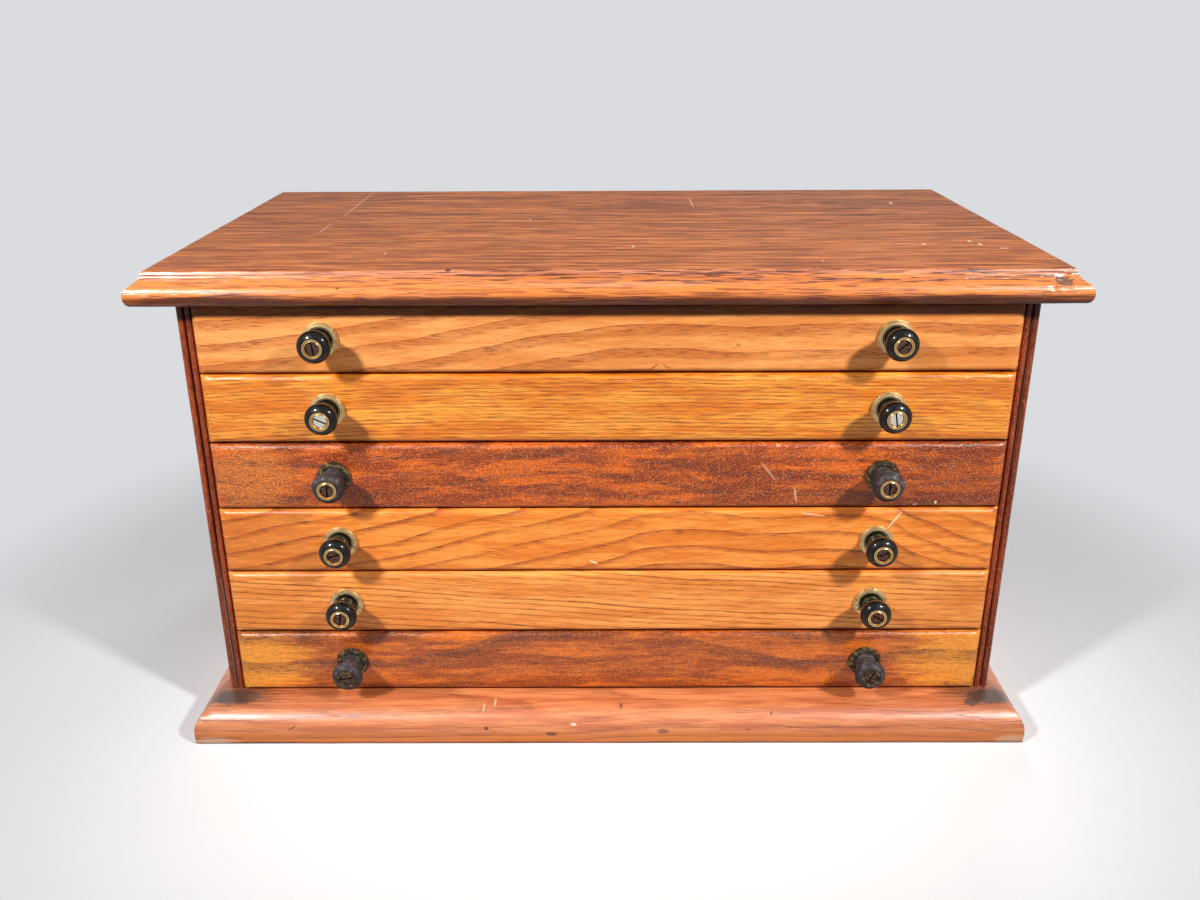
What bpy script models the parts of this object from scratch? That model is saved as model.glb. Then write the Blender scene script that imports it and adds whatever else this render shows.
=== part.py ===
"""Spool cabinet: six shallow drawers in a small oak case with a moulded top and base.

Metres, +Z up. The front looks along -Y and +X is to the right of someone who
faces it. The origin is the centre of the base board's underside. Each drawer is
built in a frame of its own, whose origin is the middle of the lower edge of its
front, and an empty at the front's centre carries the whole drawer along Y.
"""

import math

import bmesh
import bpy
from mathutils import Matrix, Vector

# Case, measured over the two side panels
CASE_WIDTH = 0.560
CASE_DEPTH = 0.3245
SIDE_THICKNESS = 0.0095
BACK_THICKNESS = 0.007
BACK_REBATE = 0.005

# Reeded front edge of a side panel: two half-round reeds beside a quirk
REED_DEPTH = 0.0020
QUIRK_WIDTH = 0.0009
QUIRK_DEPTH = 0.0014
REED_STEPS = 6

# Stub tongues that seat the side panels in the top and the base
STUB_LENGTH = 0.004
STUB_THICKNESS = 0.004
STUB_SETBACK = 0.016

# Top board and its edge moulding: bead, shallow cove and round nose
TOP_THICKNESS = 0.0215
TOP_FRONT_LEDGE = 0.0049
TOP_SIDE_LEDGE = 0.0143
BEAD_REACH = 0.0024
BEAD_DROP = 0.0035
COVE_REACH = 0.0064
COVE_DROP = 0.0053
COVE_HOLLOW = 0.0007
NOSE_REACH = 0.0040
TOP_REACH = 0.0117

# Base board and its ovolo
BASE_THICKNESS = 0.026
BASE_FRONT_LEDGE = 0.0183
BASE_SIDE_LEDGE = 0.0047
OVOLO_REACH = 0.0140
OVOLO_DROP = 0.0160
OVOLO_START = math.radians(11)
BASE_FOOT_ROUND = 0.0020

# Drawer fronts
DRAWER_COUNT = 6
FRONT_HEIGHT = 0.0476
FRONT_GAP = 0.0012
FRONT_PROUD = 0.003
FRONT_THICKNESS = 0.020
FRONT_SIDE_GAP = 0.0007
HEAD_GAP = 0.0005
END_ROUND = 0.0060
EDGE_ROUND = 0.0036
ROUND_DEPTH = 0.0042
ROUND_STEPS = 5

# Drawer boxes
BOX_HEIGHT = 0.041
BOX_SIDE_THICKNESS = 0.012
BOX_BACK_THICKNESS = 0.009
BOX_BACK_DROP = 0.003
BOTTOM_THICKNESS = 0.004
BOTTOM_RISE = 0.0046
BOTTOM_LET_IN = 0.004
DRAWER_SIDE_GAP = 0.001
DRAWER_BACK_GAP = 0.004

# Dovetails: three half-blind tails in the front, two through tails in the back
FRONT_TAIL_COUNT = 3
BACK_TAIL_COUNT = 2
TAIL_LENGTH = 0.013
TAIL_ROOT_HALF = 0.0029
TAIL_SLOPE_SHARE = 0.14

# Runners on the side panels, in the grooved drawer sides
RUNNER_HEIGHT = 0.009
RUNNER_REACH = 0.0068
RUNNER_RISE = 0.0165
RUNNER_SETBACK = 0.018
RUNNER_STOP_GAP = 0.001

# Turned knobs, brass roses and the screws through them
KNOB_INSET = 0.0831
KNOB_BALL_RADIUS = 0.0108
KNOB_BALL_HEIGHT = 0.0190
KNOB_NECK_RADIUS = 0.0074
KNOB_FOOT_HEIGHT = 0.0023
KNOB_FACE_HEIGHT = 0.0234
FERRULE_RADIUS = 0.0066
FERRULE_THICKNESS = 0.0028
FERRULE_PROUD = 0.0004
SCREW_HEAD_RADIUS = 0.0039
SCREW_SINK = 0.0011
SLOT_WIDTH = 0.0010
SLOT_DEPTH = 0.0009
SHANK_RADIUS = 0.0025
SCREW_REACH = 0.0130
SCREW_POINT = 0.0020
ROSE_RADIUS = 0.0117
ROSE_HEIGHT = 0.0033
TURN_STEPS = 14
SLOT_ANGLES = [(98, 45), (-25, -80), (88, 90), (15, 20), (80, -30), (5, 60)]

# Clearances
SEAT_GAP = 0.0003
RUN_GAP = 0.0004
TURN_GAP = 0.0005
OVERRUN = 0.002

# Steps that each curve of a moulding is drawn with
BEAD_STEPS = 4
COVE_STEPS = 4
NOSE_STEPS = 9
OVOLO_STEPS = 8
BALL_STEPS = 6

# Places worked out from the sizes above
PITCH = FRONT_HEIGHT + FRONT_GAP
CASE_HEIGHT = DRAWER_COUNT * PITCH + HEAD_GAP
BASE_DEPTH = BASE_FRONT_LEDGE + OVOLO_REACH + CASE_DEPTH
CASE_BACK = BASE_DEPTH / 2
CASE_FRONT = CASE_BACK - CASE_DEPTH
FACE_Y = CASE_FRONT - FRONT_PROUD
TOP_UNDERSIDE = BASE_THICKNESS + CASE_HEIGHT
OUTER_X = CASE_WIDTH / 2
INNER_X = OUTER_X - SIDE_THICKNESS
PANEL_LOW = BASE_THICKNESS + SEAT_GAP
PANEL_HIGH = TOP_UNDERSIDE - SEAT_GAP

# Places in a drawer's own frame
FRONT_HALF = INNER_X - FRONT_SIDE_GAP
BOX_OUTER = INNER_X - DRAWER_SIDE_GAP
BOX_INNER = BOX_OUTER - BOX_SIDE_THICKNESS
BOX_END = FRONT_PROUD + CASE_DEPTH - BACK_THICKNESS - DRAWER_BACK_GAP
SHOULDER = FRONT_THICKNESS + SEAT_GAP
BOTTOM_LOW = BOTTOM_RISE + SEAT_GAP
BOTTOM_HIGH = BOTTOM_LOW + BOTTOM_THICKNESS
BACK_LOW = BOTTOM_HIGH + SEAT_GAP
BACK_HIGH = BOX_HEIGHT - BOX_BACK_DROP
KNOB_HEIGHT = FRONT_HEIGHT / 2
KNOB_OUT = FRONT_HALF - KNOB_INSET

# Colours, as linear red, green and blue
OAK_DARK = (0.110, 0.030, 0.012)
OAK_TOP = (0.165, 0.062, 0.025)
OAK_BASE = (0.480, 0.175, 0.075)
OAK_RAW = (0.430, 0.260, 0.130)
EBONY = (0.012, 0.010, 0.010)
BRASS = (0.560, 0.440, 0.220)
FRONT_COLOURS = [
    (0.560, 0.220, 0.055),
    (0.480, 0.145, 0.022),
    (0.150, 0.032, 0.010),
    (0.500, 0.185, 0.045),
    (0.540, 0.205, 0.045),
    (0.300, 0.080, 0.018),
]


def clear_scene():
    for old in list(bpy.data.objects):
        bpy.data.objects.remove(old, do_unlink=True)


def new_collection(name):
    collection = bpy.data.collections.new(name)
    bpy.context.scene.collection.children.link(collection)
    return collection


clear_scene()
PARTS = new_collection("spool_cabinet")
CUTTERS = new_collection("cutters")


# Meshes

def finish_mesh(bm, name):
    """Write a working mesh out as data and free it."""
    mesh = bpy.data.meshes.new(name)
    bm.to_mesh(mesh)
    bm.free()
    return mesh


def boxes(name, corners):
    """Separate boxes in one mesh, each from its lowest and highest corner."""
    bm = bmesh.new()
    for low, high in corners:
        low, high = Vector(low), Vector(high)
        cube = bmesh.ops.create_cube(bm, size=1)["verts"]
        bmesh.ops.scale(bm, vec=high - low, verts=cube)
        bmesh.ops.translate(bm, vec=(low + high) / 2, verts=cube)
    return finish_mesh(bm, name)


def loft(name, rings):
    """A solid through closed rings of points, capped at the first and the last."""
    bm = bmesh.new()
    loops = []
    for ring in rings:
        verts = [bm.verts.new(point) for point in ring]
        pairs = zip(verts, verts[1:] + verts[:1])
        loops.append([bm.edges.new(pair) for pair in pairs])
    for lower, upper in zip(loops, loops[1:]):
        bmesh.ops.bridge_loops(bm, edges=lower + upper)
    for end in (loops[0], loops[-1]):
        bmesh.ops.contextual_create(bm, geom=end)
    bmesh.ops.recalc_face_normals(bm, faces=bm.faces)
    return finish_mesh(bm, name)


def prism(name, outline, thickness):
    """A flat outline given in X and Y, made `thickness` tall from Z zero up."""
    curve = bpy.data.curves.new(name, 'CURVE')
    curve.dimensions = '2D'
    curve.fill_mode = 'BOTH'
    curve.extrude = thickness / 2
    spline = curve.splines.new('POLY')
    spline.points.add(len(outline) - 1)
    for point, (x, y) in zip(spline.points, outline):
        point.co = (x, y, 0, 1)
    spline.use_cyclic_u = True
    guide = bpy.data.objects.new(name, curve)
    PARTS.objects.link(guide)
    mesh = evaluated_mesh(guide)
    bpy.data.curves.remove(curve)
    bm = bmesh.new()
    bm.from_mesh(mesh)
    bmesh.ops.remove_doubles(bm, verts=bm.verts, dist=SEAT_GAP / 10)
    bmesh.ops.translate(bm, vec=(0, 0, thickness / 2), verts=bm.verts)
    bmesh.ops.recalc_face_normals(bm, faces=bm.faces)
    return finish_mesh(bm, name)


def turned(name, profile, closed):
    """A profile of radius and height, turned about Z and then laid along -Y."""
    bm = bmesh.new()
    verts = [bm.verts.new((radius, 0, height)) for radius, height in profile]
    pairs = list(zip(verts, verts[1:]))
    if closed:
        pairs.append((verts[-1], verts[0]))
    for pair in pairs:
        bm.edges.new(pair)
    mesh = bpy.data.meshes.new(name)
    bm.to_mesh(mesh)
    bm.free()
    work = bpy.data.objects.new(name, mesh)
    PARTS.objects.link(work)
    screw = work.modifiers.new("turn", 'SCREW')
    screw.axis = 'Z'
    screw.steps = TURN_STEPS
    screw.render_steps = TURN_STEPS
    screw.use_merge_vertices = True
    screw.merge_threshold = SEAT_GAP / 10
    solid = evaluated_mesh(work)
    solid.transform(Matrix.Rotation(math.pi / 2, 4, 'X'))
    return solid


def evaluated_mesh(work):
    """The finished mesh of a working object, which is then removed."""
    depsgraph = bpy.context.evaluated_depsgraph_get()
    mesh = bpy.data.meshes.new_from_object(work.evaluated_get(depsgraph))
    bpy.data.objects.remove(work)
    return mesh


def mirrored(mesh):
    """The same piece for the other hand."""
    bm = bmesh.new()
    bm.from_mesh(mesh)
    bmesh.ops.scale(bm, vec=(-1, 1, 1), verts=bm.verts)
    bmesh.ops.reverse_faces(bm, faces=bm.faces)
    return finish_mesh(bm, mesh.name + "_mirrored")


def carve(mesh, tool_mesh, operation='DIFFERENCE'):
    """One Boolean on a mesh. The tool stays in the cutters' collection."""
    tool = bpy.data.objects.new("cutter_" + tool_mesh.name, tool_mesh)
    tool.hide_render = True
    tool.display_type = 'WIRE'
    CUTTERS.objects.link(tool)
    work = bpy.data.objects.new("work", mesh)
    PARTS.objects.link(work)
    boolean = work.modifiers.new("carve", 'BOOLEAN')
    boolean.operation = operation
    boolean.solver = 'EXACT'
    boolean.object = tool
    return evaluated_mesh(work)


def place(name, mesh, colour, roughness, metallic=0, carrier=None, location=(0, 0, 0)):
    """One named piece with a finish of its own, on the empty that carries it."""
    material = bpy.data.materials.new(name)
    material.use_nodes = True
    shader = material.node_tree.nodes["Principled BSDF"]
    shader.inputs["Base Color"].default_value = (*colour, 1)
    shader.inputs["Roughness"].default_value = roughness
    shader.inputs["Metallic"].default_value = metallic
    piece = bpy.data.objects.new(name, mesh)
    PARTS.objects.link(piece)
    if not mesh.materials:
        mesh.materials.append(material)
    piece.material_slots[0].link = 'OBJECT'
    piece.material_slots[0].material = material
    piece.parent = carrier
    piece.location = location
    return piece


def arc(start, end, steps):
    """Angles from start to end, both included."""
    return [start + (end - start) * step / steps for step in range(steps + 1)]


# Case

def top_profile():
    """Reach beyond the upper arris and height over the underside, from the top down."""
    bead_low = TOP_THICKNESS - BEAD_DROP
    nose_half = (bead_low - COVE_DROP) / 2
    points = []
    for angle in arc(0, math.pi / 2, BEAD_STEPS):
        points.append((BEAD_REACH * math.sin(angle), bead_low + BEAD_DROP * math.cos(angle)))
    chord = math.hypot(COVE_REACH, COVE_DROP)
    for step in range(1, COVE_STEPS):
        share = step / COVE_STEPS
        hollow = COVE_HOLLOW * math.sin(math.pi * share)
        reach = BEAD_REACH + COVE_REACH * share - hollow * COVE_DROP / chord
        points.append((reach, bead_low - COVE_DROP * share - hollow * COVE_REACH / chord))
    centre = TOP_REACH - NOSE_REACH
    first = math.acos((BEAD_REACH + COVE_REACH - centre) / NOSE_REACH)
    for angle in arc(first, -math.pi / 2, NOSE_STEPS):
        reach = centre + NOSE_REACH * math.cos(angle)
        points.append((reach, nose_half + nose_half * math.sin(angle)))
    return points


def base_profile():
    """Reach beyond the upper arris and height over the underside, from the top down."""
    centre = BASE_THICKNESS - OVOLO_DROP
    first_reach = OVOLO_REACH * math.sin(OVOLO_START)
    points = []
    for angle in arc(OVOLO_START, math.pi / 2, OVOLO_STEPS):
        share = (OVOLO_REACH * math.sin(angle) - first_reach) / (OVOLO_REACH - first_reach)
        rise = (math.cos(angle) / math.cos(OVOLO_START)) * OVOLO_DROP
        points.append((OVOLO_REACH * share, centre + rise))
    for angle in arc(0, math.pi / 2, ROUND_STEPS):
        inset = BASE_FOOT_ROUND * (1 - math.cos(angle))
        points.append((OVOLO_REACH - inset, BASE_FOOT_ROUND * (1 - math.sin(angle))))
    return points


def moulded_board(name, profile, half_width, front, back, underside):
    """A board moulded on its front and both ends, and square at the back."""
    rings = []
    for reach, height in profile:
        side = half_width + reach
        z = underside + height
        rings.append([
            (-side, front - reach, z),
            (side, front - reach, z),
            (side, back, z),
            (-side, back, z),
        ])
    return loft(name, rings)


def stub_boxes(gap):
    """The tongues of both panels, or with a gap the grooves that take them."""
    middle = OUTER_X - SIDE_THICKNESS / 2
    half = STUB_THICKNESS / 2 + gap
    front = CASE_FRONT + STUB_SETBACK - gap
    back = CASE_BACK - STUB_SETBACK + gap
    low = PANEL_LOW - STUB_LENGTH - gap + SEAT_GAP
    high = PANEL_HIGH + STUB_LENGTH + gap - SEAT_GAP
    return [
        ((middle - half, front, low), (middle + half, back, PANEL_LOW + OVERRUN)),
        ((middle - half, front, PANEL_HIGH - OVERRUN), (middle + half, back, high)),
    ]


def other_hand(low, high):
    """Corners of the same box on the left side."""
    return (-high[0], low[1], low[2]), (-low[0], high[1], high[2])


def groove_cutter(name, end):
    """Grooves for both panels' tongues: end 0 is in the base, end 1 in the top."""
    right = stub_boxes(SEAT_GAP)[end]
    return boxes(name, [right, other_hand(*right)])


def panel_section():
    """Plan of the right side panel: two reeds in front and a rebate at the back."""
    reed_half = (SIDE_THICKNESS - QUIRK_WIDTH) / 4
    shoulder = CASE_FRONT + REED_DEPTH
    points = []
    for middle in (INNER_X + reed_half, OUTER_X - reed_half):
        for angle in arc(math.pi, 0, REED_STEPS):
            x = middle + reed_half * math.cos(angle)
            points.append((x, shoulder - REED_DEPTH * math.sin(angle)))
        if middle < OUTER_X - 2 * reed_half:
            points.append((points[-1][0], shoulder + QUIRK_DEPTH))
            points.append((points[-1][0] + QUIRK_WIDTH, shoulder + QUIRK_DEPTH))
    rebate_front = CASE_BACK - BACK_THICKNESS - SEAT_GAP
    points.append((OUTER_X, CASE_BACK))
    points.append((INNER_X + BACK_REBATE, CASE_BACK))
    points.append((INNER_X + BACK_REBATE, rebate_front))
    points.append((INNER_X, rebate_front))
    return points


def drawer_base(level):
    """Height of a drawer's lower edge, level 0 being the lowest drawer."""
    return BASE_THICKNESS + FRONT_GAP + level * PITCH


def runner_boxes():
    front = FACE_Y + FRONT_THICKNESS + RUNNER_SETBACK
    back = CASE_BACK - BACK_THICKNESS - 2 * SEAT_GAP
    made = []
    for level in range(DRAWER_COUNT):
        low = drawer_base(level) + RUNNER_RISE
        corner = (INNER_X - RUNNER_REACH, front, low)
        made.append((corner, (INNER_X + OVERRUN, back, low + RUNNER_HEIGHT)))
    return made


def side_panel():
    """The right side panel with its runners and its two stub tongues."""
    panel = prism("side_panel", panel_section(), PANEL_HIGH - PANEL_LOW)
    panel.transform(Matrix.Translation((0, 0, PANEL_LOW)))
    fittings = boxes("runners_and_stubs", runner_boxes() + stub_boxes(0))
    return carve(panel, fittings, 'UNION')


def build_case():
    front = CASE_FRONT - TOP_FRONT_LEDGE
    top = moulded_board("top_board", top_profile(), OUTER_X + TOP_SIDE_LEDGE, front, CASE_BACK,
                        TOP_UNDERSIDE)
    front = CASE_FRONT - BASE_FRONT_LEDGE
    base = moulded_board("base_board", base_profile(), OUTER_X + BASE_SIDE_LEDGE, front,
                         CASE_BACK, 0)
    panel = side_panel()
    half = INNER_X + BACK_REBATE - SEAT_GAP
    back_low = (-half, CASE_BACK - BACK_THICKNESS, PANEL_LOW)
    back = boxes("back_panel", [(back_low, (half, CASE_BACK, PANEL_HIGH))])
    place("top_board", carve(top, groove_cutter("top_grooves", 1)), OAK_TOP, 0.42)
    place("base_board", carve(base, groove_cutter("base_grooves", 0)), OAK_BASE, 0.45)
    place("side_panel_right", panel, OAK_DARK, 0.40)
    place("side_panel_left", mirrored(panel), OAK_DARK, 0.40)
    place("back_panel", back, OAK_DARK, 0.60)


# Drawer pieces, in the drawer's own frame

def tail_half(distance):
    """Half the width of a dovetail at a distance from its root."""
    return TAIL_ROOT_HALF + TAIL_SLOPE_SHARE * distance


def tail_centres(low, high, count):
    return [low + (high - low) * (index + 0.5) / count for index in range(count)]


def tail_socket(bm, centre, root, reach, x_low, x_high):
    """A tapered block round one tail. `reach` runs from the root, signed along Y."""
    direction = math.copysign(1, reach)
    cube = bmesh.ops.create_cube(bm, size=1)["verts"]
    for vert in cube:
        distance = abs(reach) if vert.co.y * direction > 0 else -OVERRUN
        z = centre + math.copysign(tail_half(distance) + SEAT_GAP, vert.co.z)
        x = x_low if vert.co.x < 0 else x_high
        vert.co = (x, root + direction * distance, z)


def socket_cutter(name, centres, root, reach):
    """Sockets at both ends of a board, open to the board's ends."""
    bm = bmesh.new()
    for centre in centres:
        tail_socket(bm, centre, root, reach, BOX_INNER - SEAT_GAP, INNER_X + OVERRUN)
        tail_socket(bm, centre, root, reach, -INNER_X - OVERRUN, SEAT_GAP - BOX_INNER)
    return finish_mesh(bm, name)


def front_rings():
    """Rectangles from the face to the back of a drawer front."""
    rings = []
    for angle in arc(0, math.pi / 2, ROUND_STEPS):
        inset = 1 - math.sin(angle)
        rings.append((inset, ROUND_DEPTH * (1 - math.cos(angle))))
    rings.append((0, FRONT_THICKNESS))
    made = []
    for inset, y in rings:
        half = FRONT_HALF - END_ROUND * inset
        low, high = EDGE_ROUND * inset, FRONT_HEIGHT - EDGE_ROUND * inset
        made.append([(-half, y, low), (half, y, low), (half, y, high), (-half, y, high)])
    return made


def bottom_groove():
    """Groove in the drawer front for the bottom's front edge."""
    half = BOX_INNER + BOTTOM_LET_IN + SEAT_GAP
    low = (-half, FRONT_THICKNESS - BOTTOM_LET_IN - SEAT_GAP, BOTTOM_RISE)
    high = (half, FRONT_THICKNESS + OVERRUN, BOTTOM_HIGH + SEAT_GAP)
    return boxes("bottom_groove", [(low, high)])


def screw_hole(x):
    """Blind hole in the drawer front for one knob screw."""
    depth = SCREW_REACH + SCREW_POINT + SEAT_GAP
    radius = SHANK_RADIUS + TURN_GAP
    profile = [(0, OVERRUN), (radius, OVERRUN), (radius, -depth), (0, -depth)]
    hole = turned("screw_hole", profile, False)
    hole.transform(Matrix.Translation((x, 0, KNOB_HEIGHT)))
    return hole


def front_mesh():
    centres = tail_centres(0, BOX_HEIGHT, FRONT_TAIL_COUNT)
    sockets = socket_cutter("front_sockets", centres, FRONT_THICKNESS, -TAIL_LENGTH - SEAT_GAP)
    front = carve(loft("drawer_front", front_rings()), sockets)
    front = carve(front, bottom_groove())
    for side in (-1, 1):
        front = carve(front, screw_hole(side * KNOB_OUT))
    return front


def tail_outline(centres, root, direction, length, downwards):
    """Points round the tails on one end of a drawer side, as Y and Z."""
    points = []
    tip = root + direction * length
    turn = -1 if downwards else 1
    for centre in centres[::turn]:
        points.append((root, centre - turn * tail_half(0)))
        points.append((tip, centre - turn * tail_half(length)))
        points.append((tip, centre + turn * tail_half(length)))
        points.append((root, centre + turn * tail_half(0)))
    return points


def side_outline():
    """Drawer side seen from its end of X: tails in front, tails and pins behind."""
    root = BOX_END - BOX_BACK_THICKNESS - SEAT_GAP
    front = tail_centres(0, BOX_HEIGHT, FRONT_TAIL_COUNT)
    back = tail_centres(BACK_LOW, BACK_HIGH, BACK_TAIL_COUNT)
    points = [(SHOULDER, 0)]
    points += tail_outline(front, SHOULDER, -1, TAIL_LENGTH + SEAT_GAP, False)
    points += [(SHOULDER, BOX_HEIGHT), (BOX_END, BOX_HEIGHT)]
    points += [(BOX_END, BACK_HIGH + SEAT_GAP), (root, BACK_HIGH + SEAT_GAP)]
    points += tail_outline(back, root, 1, BOX_BACK_THICKNESS + SEAT_GAP, True)
    points += [(root, BACK_LOW - SEAT_GAP), (BOX_END, BACK_LOW - SEAT_GAP), (BOX_END, 0)]
    return points


def runner_groove():
    """Corners of the groove that a drawer runs in, on its right side."""
    stop = FRONT_THICKNESS + RUNNER_SETBACK - RUNNER_STOP_GAP
    low = (INNER_X - RUNNER_REACH - RUN_GAP, stop, RUNNER_RISE - RUN_GAP)
    return low, (INNER_X + OVERRUN, BOX_END + OVERRUN, RUNNER_RISE + RUNNER_HEIGHT + SEAT_GAP)


def side_grooves():
    """Inner groove for the bottom and outer groove for the runner, of the right side."""
    start = FRONT_THICKNESS - TAIL_LENGTH - OVERRUN
    low = (BOX_INNER - OVERRUN, start, BOTTOM_RISE)
    high = (BOX_INNER + BOTTOM_LET_IN + SEAT_GAP, BOX_END + OVERRUN, BOTTOM_HIGH + SEAT_GAP)
    return boxes("side_grooves", [(low, high), runner_groove()])


def side_mesh():
    """The right drawer side: an outline in Y and Z, stood up across X."""
    blank = prism("drawer_side", side_outline(), BOX_SIDE_THICKNESS)
    stand = Matrix(((0, 0, 1, BOX_INNER), (1, 0, 0, 0), (0, 1, 0, 0), (0, 0, 0, 1)))
    blank.transform(stand)
    return carve(blank, side_grooves())


def back_mesh():
    """The drawer back: pins between the tails, notched where the runners pass."""
    low = (-BOX_OUTER, BOX_END - BOX_BACK_THICKNESS, BACK_LOW)
    blank = boxes("drawer_back", [(low, (BOX_OUTER, BOX_END, BACK_HIGH))])
    centres = tail_centres(BACK_LOW, BACK_HIGH, BACK_TAIL_COUNT)
    root = BOX_END - BOX_BACK_THICKNESS - SEAT_GAP
    reach = BOX_BACK_THICKNESS + SEAT_GAP + OVERRUN
    blank = carve(blank, socket_cutter("back_sockets", centres, root, reach))
    right = runner_groove()
    return carve(blank, boxes("runner_notches", [right, other_hand(*right)]))


def bottom_mesh():
    half = BOX_INNER + BOTTOM_LET_IN
    low = (-half, FRONT_THICKNESS - BOTTOM_LET_IN, BOTTOM_LOW)
    return boxes("drawer_bottom", [(low, (half, BOX_END, BOTTOM_HIGH))])


# Knobs

def knob_mesh():
    """Black turned knob: a ball, flattened in front, on a neck bored for its screw."""
    bore = SHANK_RADIUS + TURN_GAP
    recess = FERRULE_RADIUS + TURN_GAP
    lip = recess + SEAT_GAP
    seat = KNOB_FACE_HEIGHT - FERRULE_THICKNESS
    first = math.asin(lip / KNOB_BALL_RADIUS)
    flattened = (KNOB_FACE_HEIGHT - KNOB_BALL_HEIGHT) / math.cos(first)
    neck_turn = KNOB_NECK_RADIUS + (KNOB_BALL_RADIUS - KNOB_NECK_RADIUS) / 4
    last = math.pi - math.asin(neck_turn / KNOB_BALL_RADIUS)
    profile = [(bore, seat), (recess, seat), (recess, KNOB_FACE_HEIGHT)]
    for angle in arc(first, last, BALL_STEPS):
        depth = flattened if angle < math.pi / 2 else KNOB_BALL_RADIUS
        height = KNOB_BALL_HEIGHT + depth * math.cos(angle)
        profile.append((KNOB_BALL_RADIUS * math.sin(angle), height))
    neck_top = profile[-1][1] - (neck_turn - KNOB_NECK_RADIUS)
    profile.append((KNOB_NECK_RADIUS, neck_top))
    profile.append((KNOB_NECK_RADIUS, KNOB_FOOT_HEIGHT))
    profile.append((bore, KNOB_FOOT_HEIGHT))
    return turned("knob", profile, True)


def fitting_profile():
    """Screw head, ferrule, shank and rose of one knob, from the head down."""
    rim = KNOB_FACE_HEIGHT + FERRULE_PROUD
    head = rim - SCREW_SINK
    ferrule_back = KNOB_FACE_HEIGHT - FERRULE_THICKNESS + SEAT_GAP
    cup = (FERRULE_RADIUS - SCREW_HEAD_RADIUS) / 3
    rose_lip = KNOB_NECK_RADIUS + TURN_GAP
    rose_floor = KNOB_FOOT_HEIGHT - SEAT_GAP
    rose_step = (ROSE_RADIUS - rose_lip) / 4
    return [
        (0, head),
        (SCREW_HEAD_RADIUS, head - SEAT_GAP),
        (SCREW_HEAD_RADIUS + cup, rim),
        (FERRULE_RADIUS - cup / 2, rim),
        (FERRULE_RADIUS, rim - cup),
        (FERRULE_RADIUS, ferrule_back),
        (SHANK_RADIUS, ferrule_back),
        (SHANK_RADIUS, rose_floor),
        (rose_lip, rose_floor),
        (rose_lip + rose_step, ROSE_HEIGHT),
        (ROSE_RADIUS - rose_step, ROSE_HEIGHT - SEAT_GAP),
        (ROSE_RADIUS, ROSE_HEIGHT / 2),
        (ROSE_RADIUS, SEAT_GAP),
        (SHANK_RADIUS, SEAT_GAP),
        (SHANK_RADIUS, -SCREW_REACH),
        (0, -SCREW_REACH - SCREW_POINT),
    ]


def fitting_mesh():
    """Brass rose and ferrule on their screw, with the slot across the head."""
    blank = turned("fitting", fitting_profile(), False)
    head = KNOB_FACE_HEIGHT + FERRULE_PROUD - SCREW_SINK
    low = (-SCREW_HEAD_RADIUS, -head - OVERRUN, -SLOT_WIDTH / 2)
    high = (SCREW_HEAD_RADIUS, SLOT_DEPTH - head, SLOT_WIDTH / 2)
    return carve(blank, boxes("screw_slot", [(low, high)]))


def add_knobs(name, carrier, knob, fitting, angles):
    """Both knobs of one drawer, each with its slot at its own angle."""
    for side, word, angle in zip((-1, 1), ("left", "right"), angles):
        spot = (side * KNOB_OUT, 0, 0)
        place(f"{name}_knob_{word}", knob, EBONY, 0.22, carrier=carrier, location=spot)
        brass = place(f"{name}_rose_and_screw_{word}", fitting, BRASS, 0.30, 1, carrier, spot)
        brass.rotation_euler = (0, math.radians(-angle), 0)


# Assembly

def carrier_empty(name, level):
    """The empty at the centre of a drawer's face, on its line of travel."""
    carrier = bpy.data.objects.new(name, None)
    PARTS.objects.link(carrier)
    carrier.location = (0, FACE_Y, drawer_base(level) + KNOB_HEIGHT)
    return carrier


def build_drawers():
    """Six like drawers, numbered from the top, which share one set of meshes."""
    side = side_mesh()
    meshes = {
        "front": front_mesh(),
        "side_right": side,
        "side_left": mirrored(side),
        "back": back_mesh(),
        "bottom": bottom_mesh(),
    }
    drop = (0, 0, -KNOB_HEIGHT)
    knob = knob_mesh()
    fitting = fitting_mesh()
    for number in range(1, DRAWER_COUNT + 1):
        name = f"drawer_{number}"
        carrier = carrier_empty(name, DRAWER_COUNT - number)
        colours = FRONT_COLOURS[(number - 1) % len(FRONT_COLOURS)]
        for word, mesh in meshes.items():
            colour = colours if word == "front" else OAK_RAW
            roughness = 0.35 if word == "front" else 0.70
            place(f"{name}_{word}", mesh, colour, roughness, carrier=carrier, location=drop)
        angles = SLOT_ANGLES[(number - 1) % len(SLOT_ANGLES)]
        add_knobs(name, carrier, knob, fitting, angles)


def shade_round_pieces():
    """Smooth shading across the turned and moulded surfaces, sharp at true edges."""
    for mesh in {piece.data for piece in PARTS.objects if piece.type == 'MESH'}:
        mesh.shade_smooth()
        mesh.set_sharp_from_angle(angle=math.radians(35))


build_case()
build_drawers()
shade_round_pieces()
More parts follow.
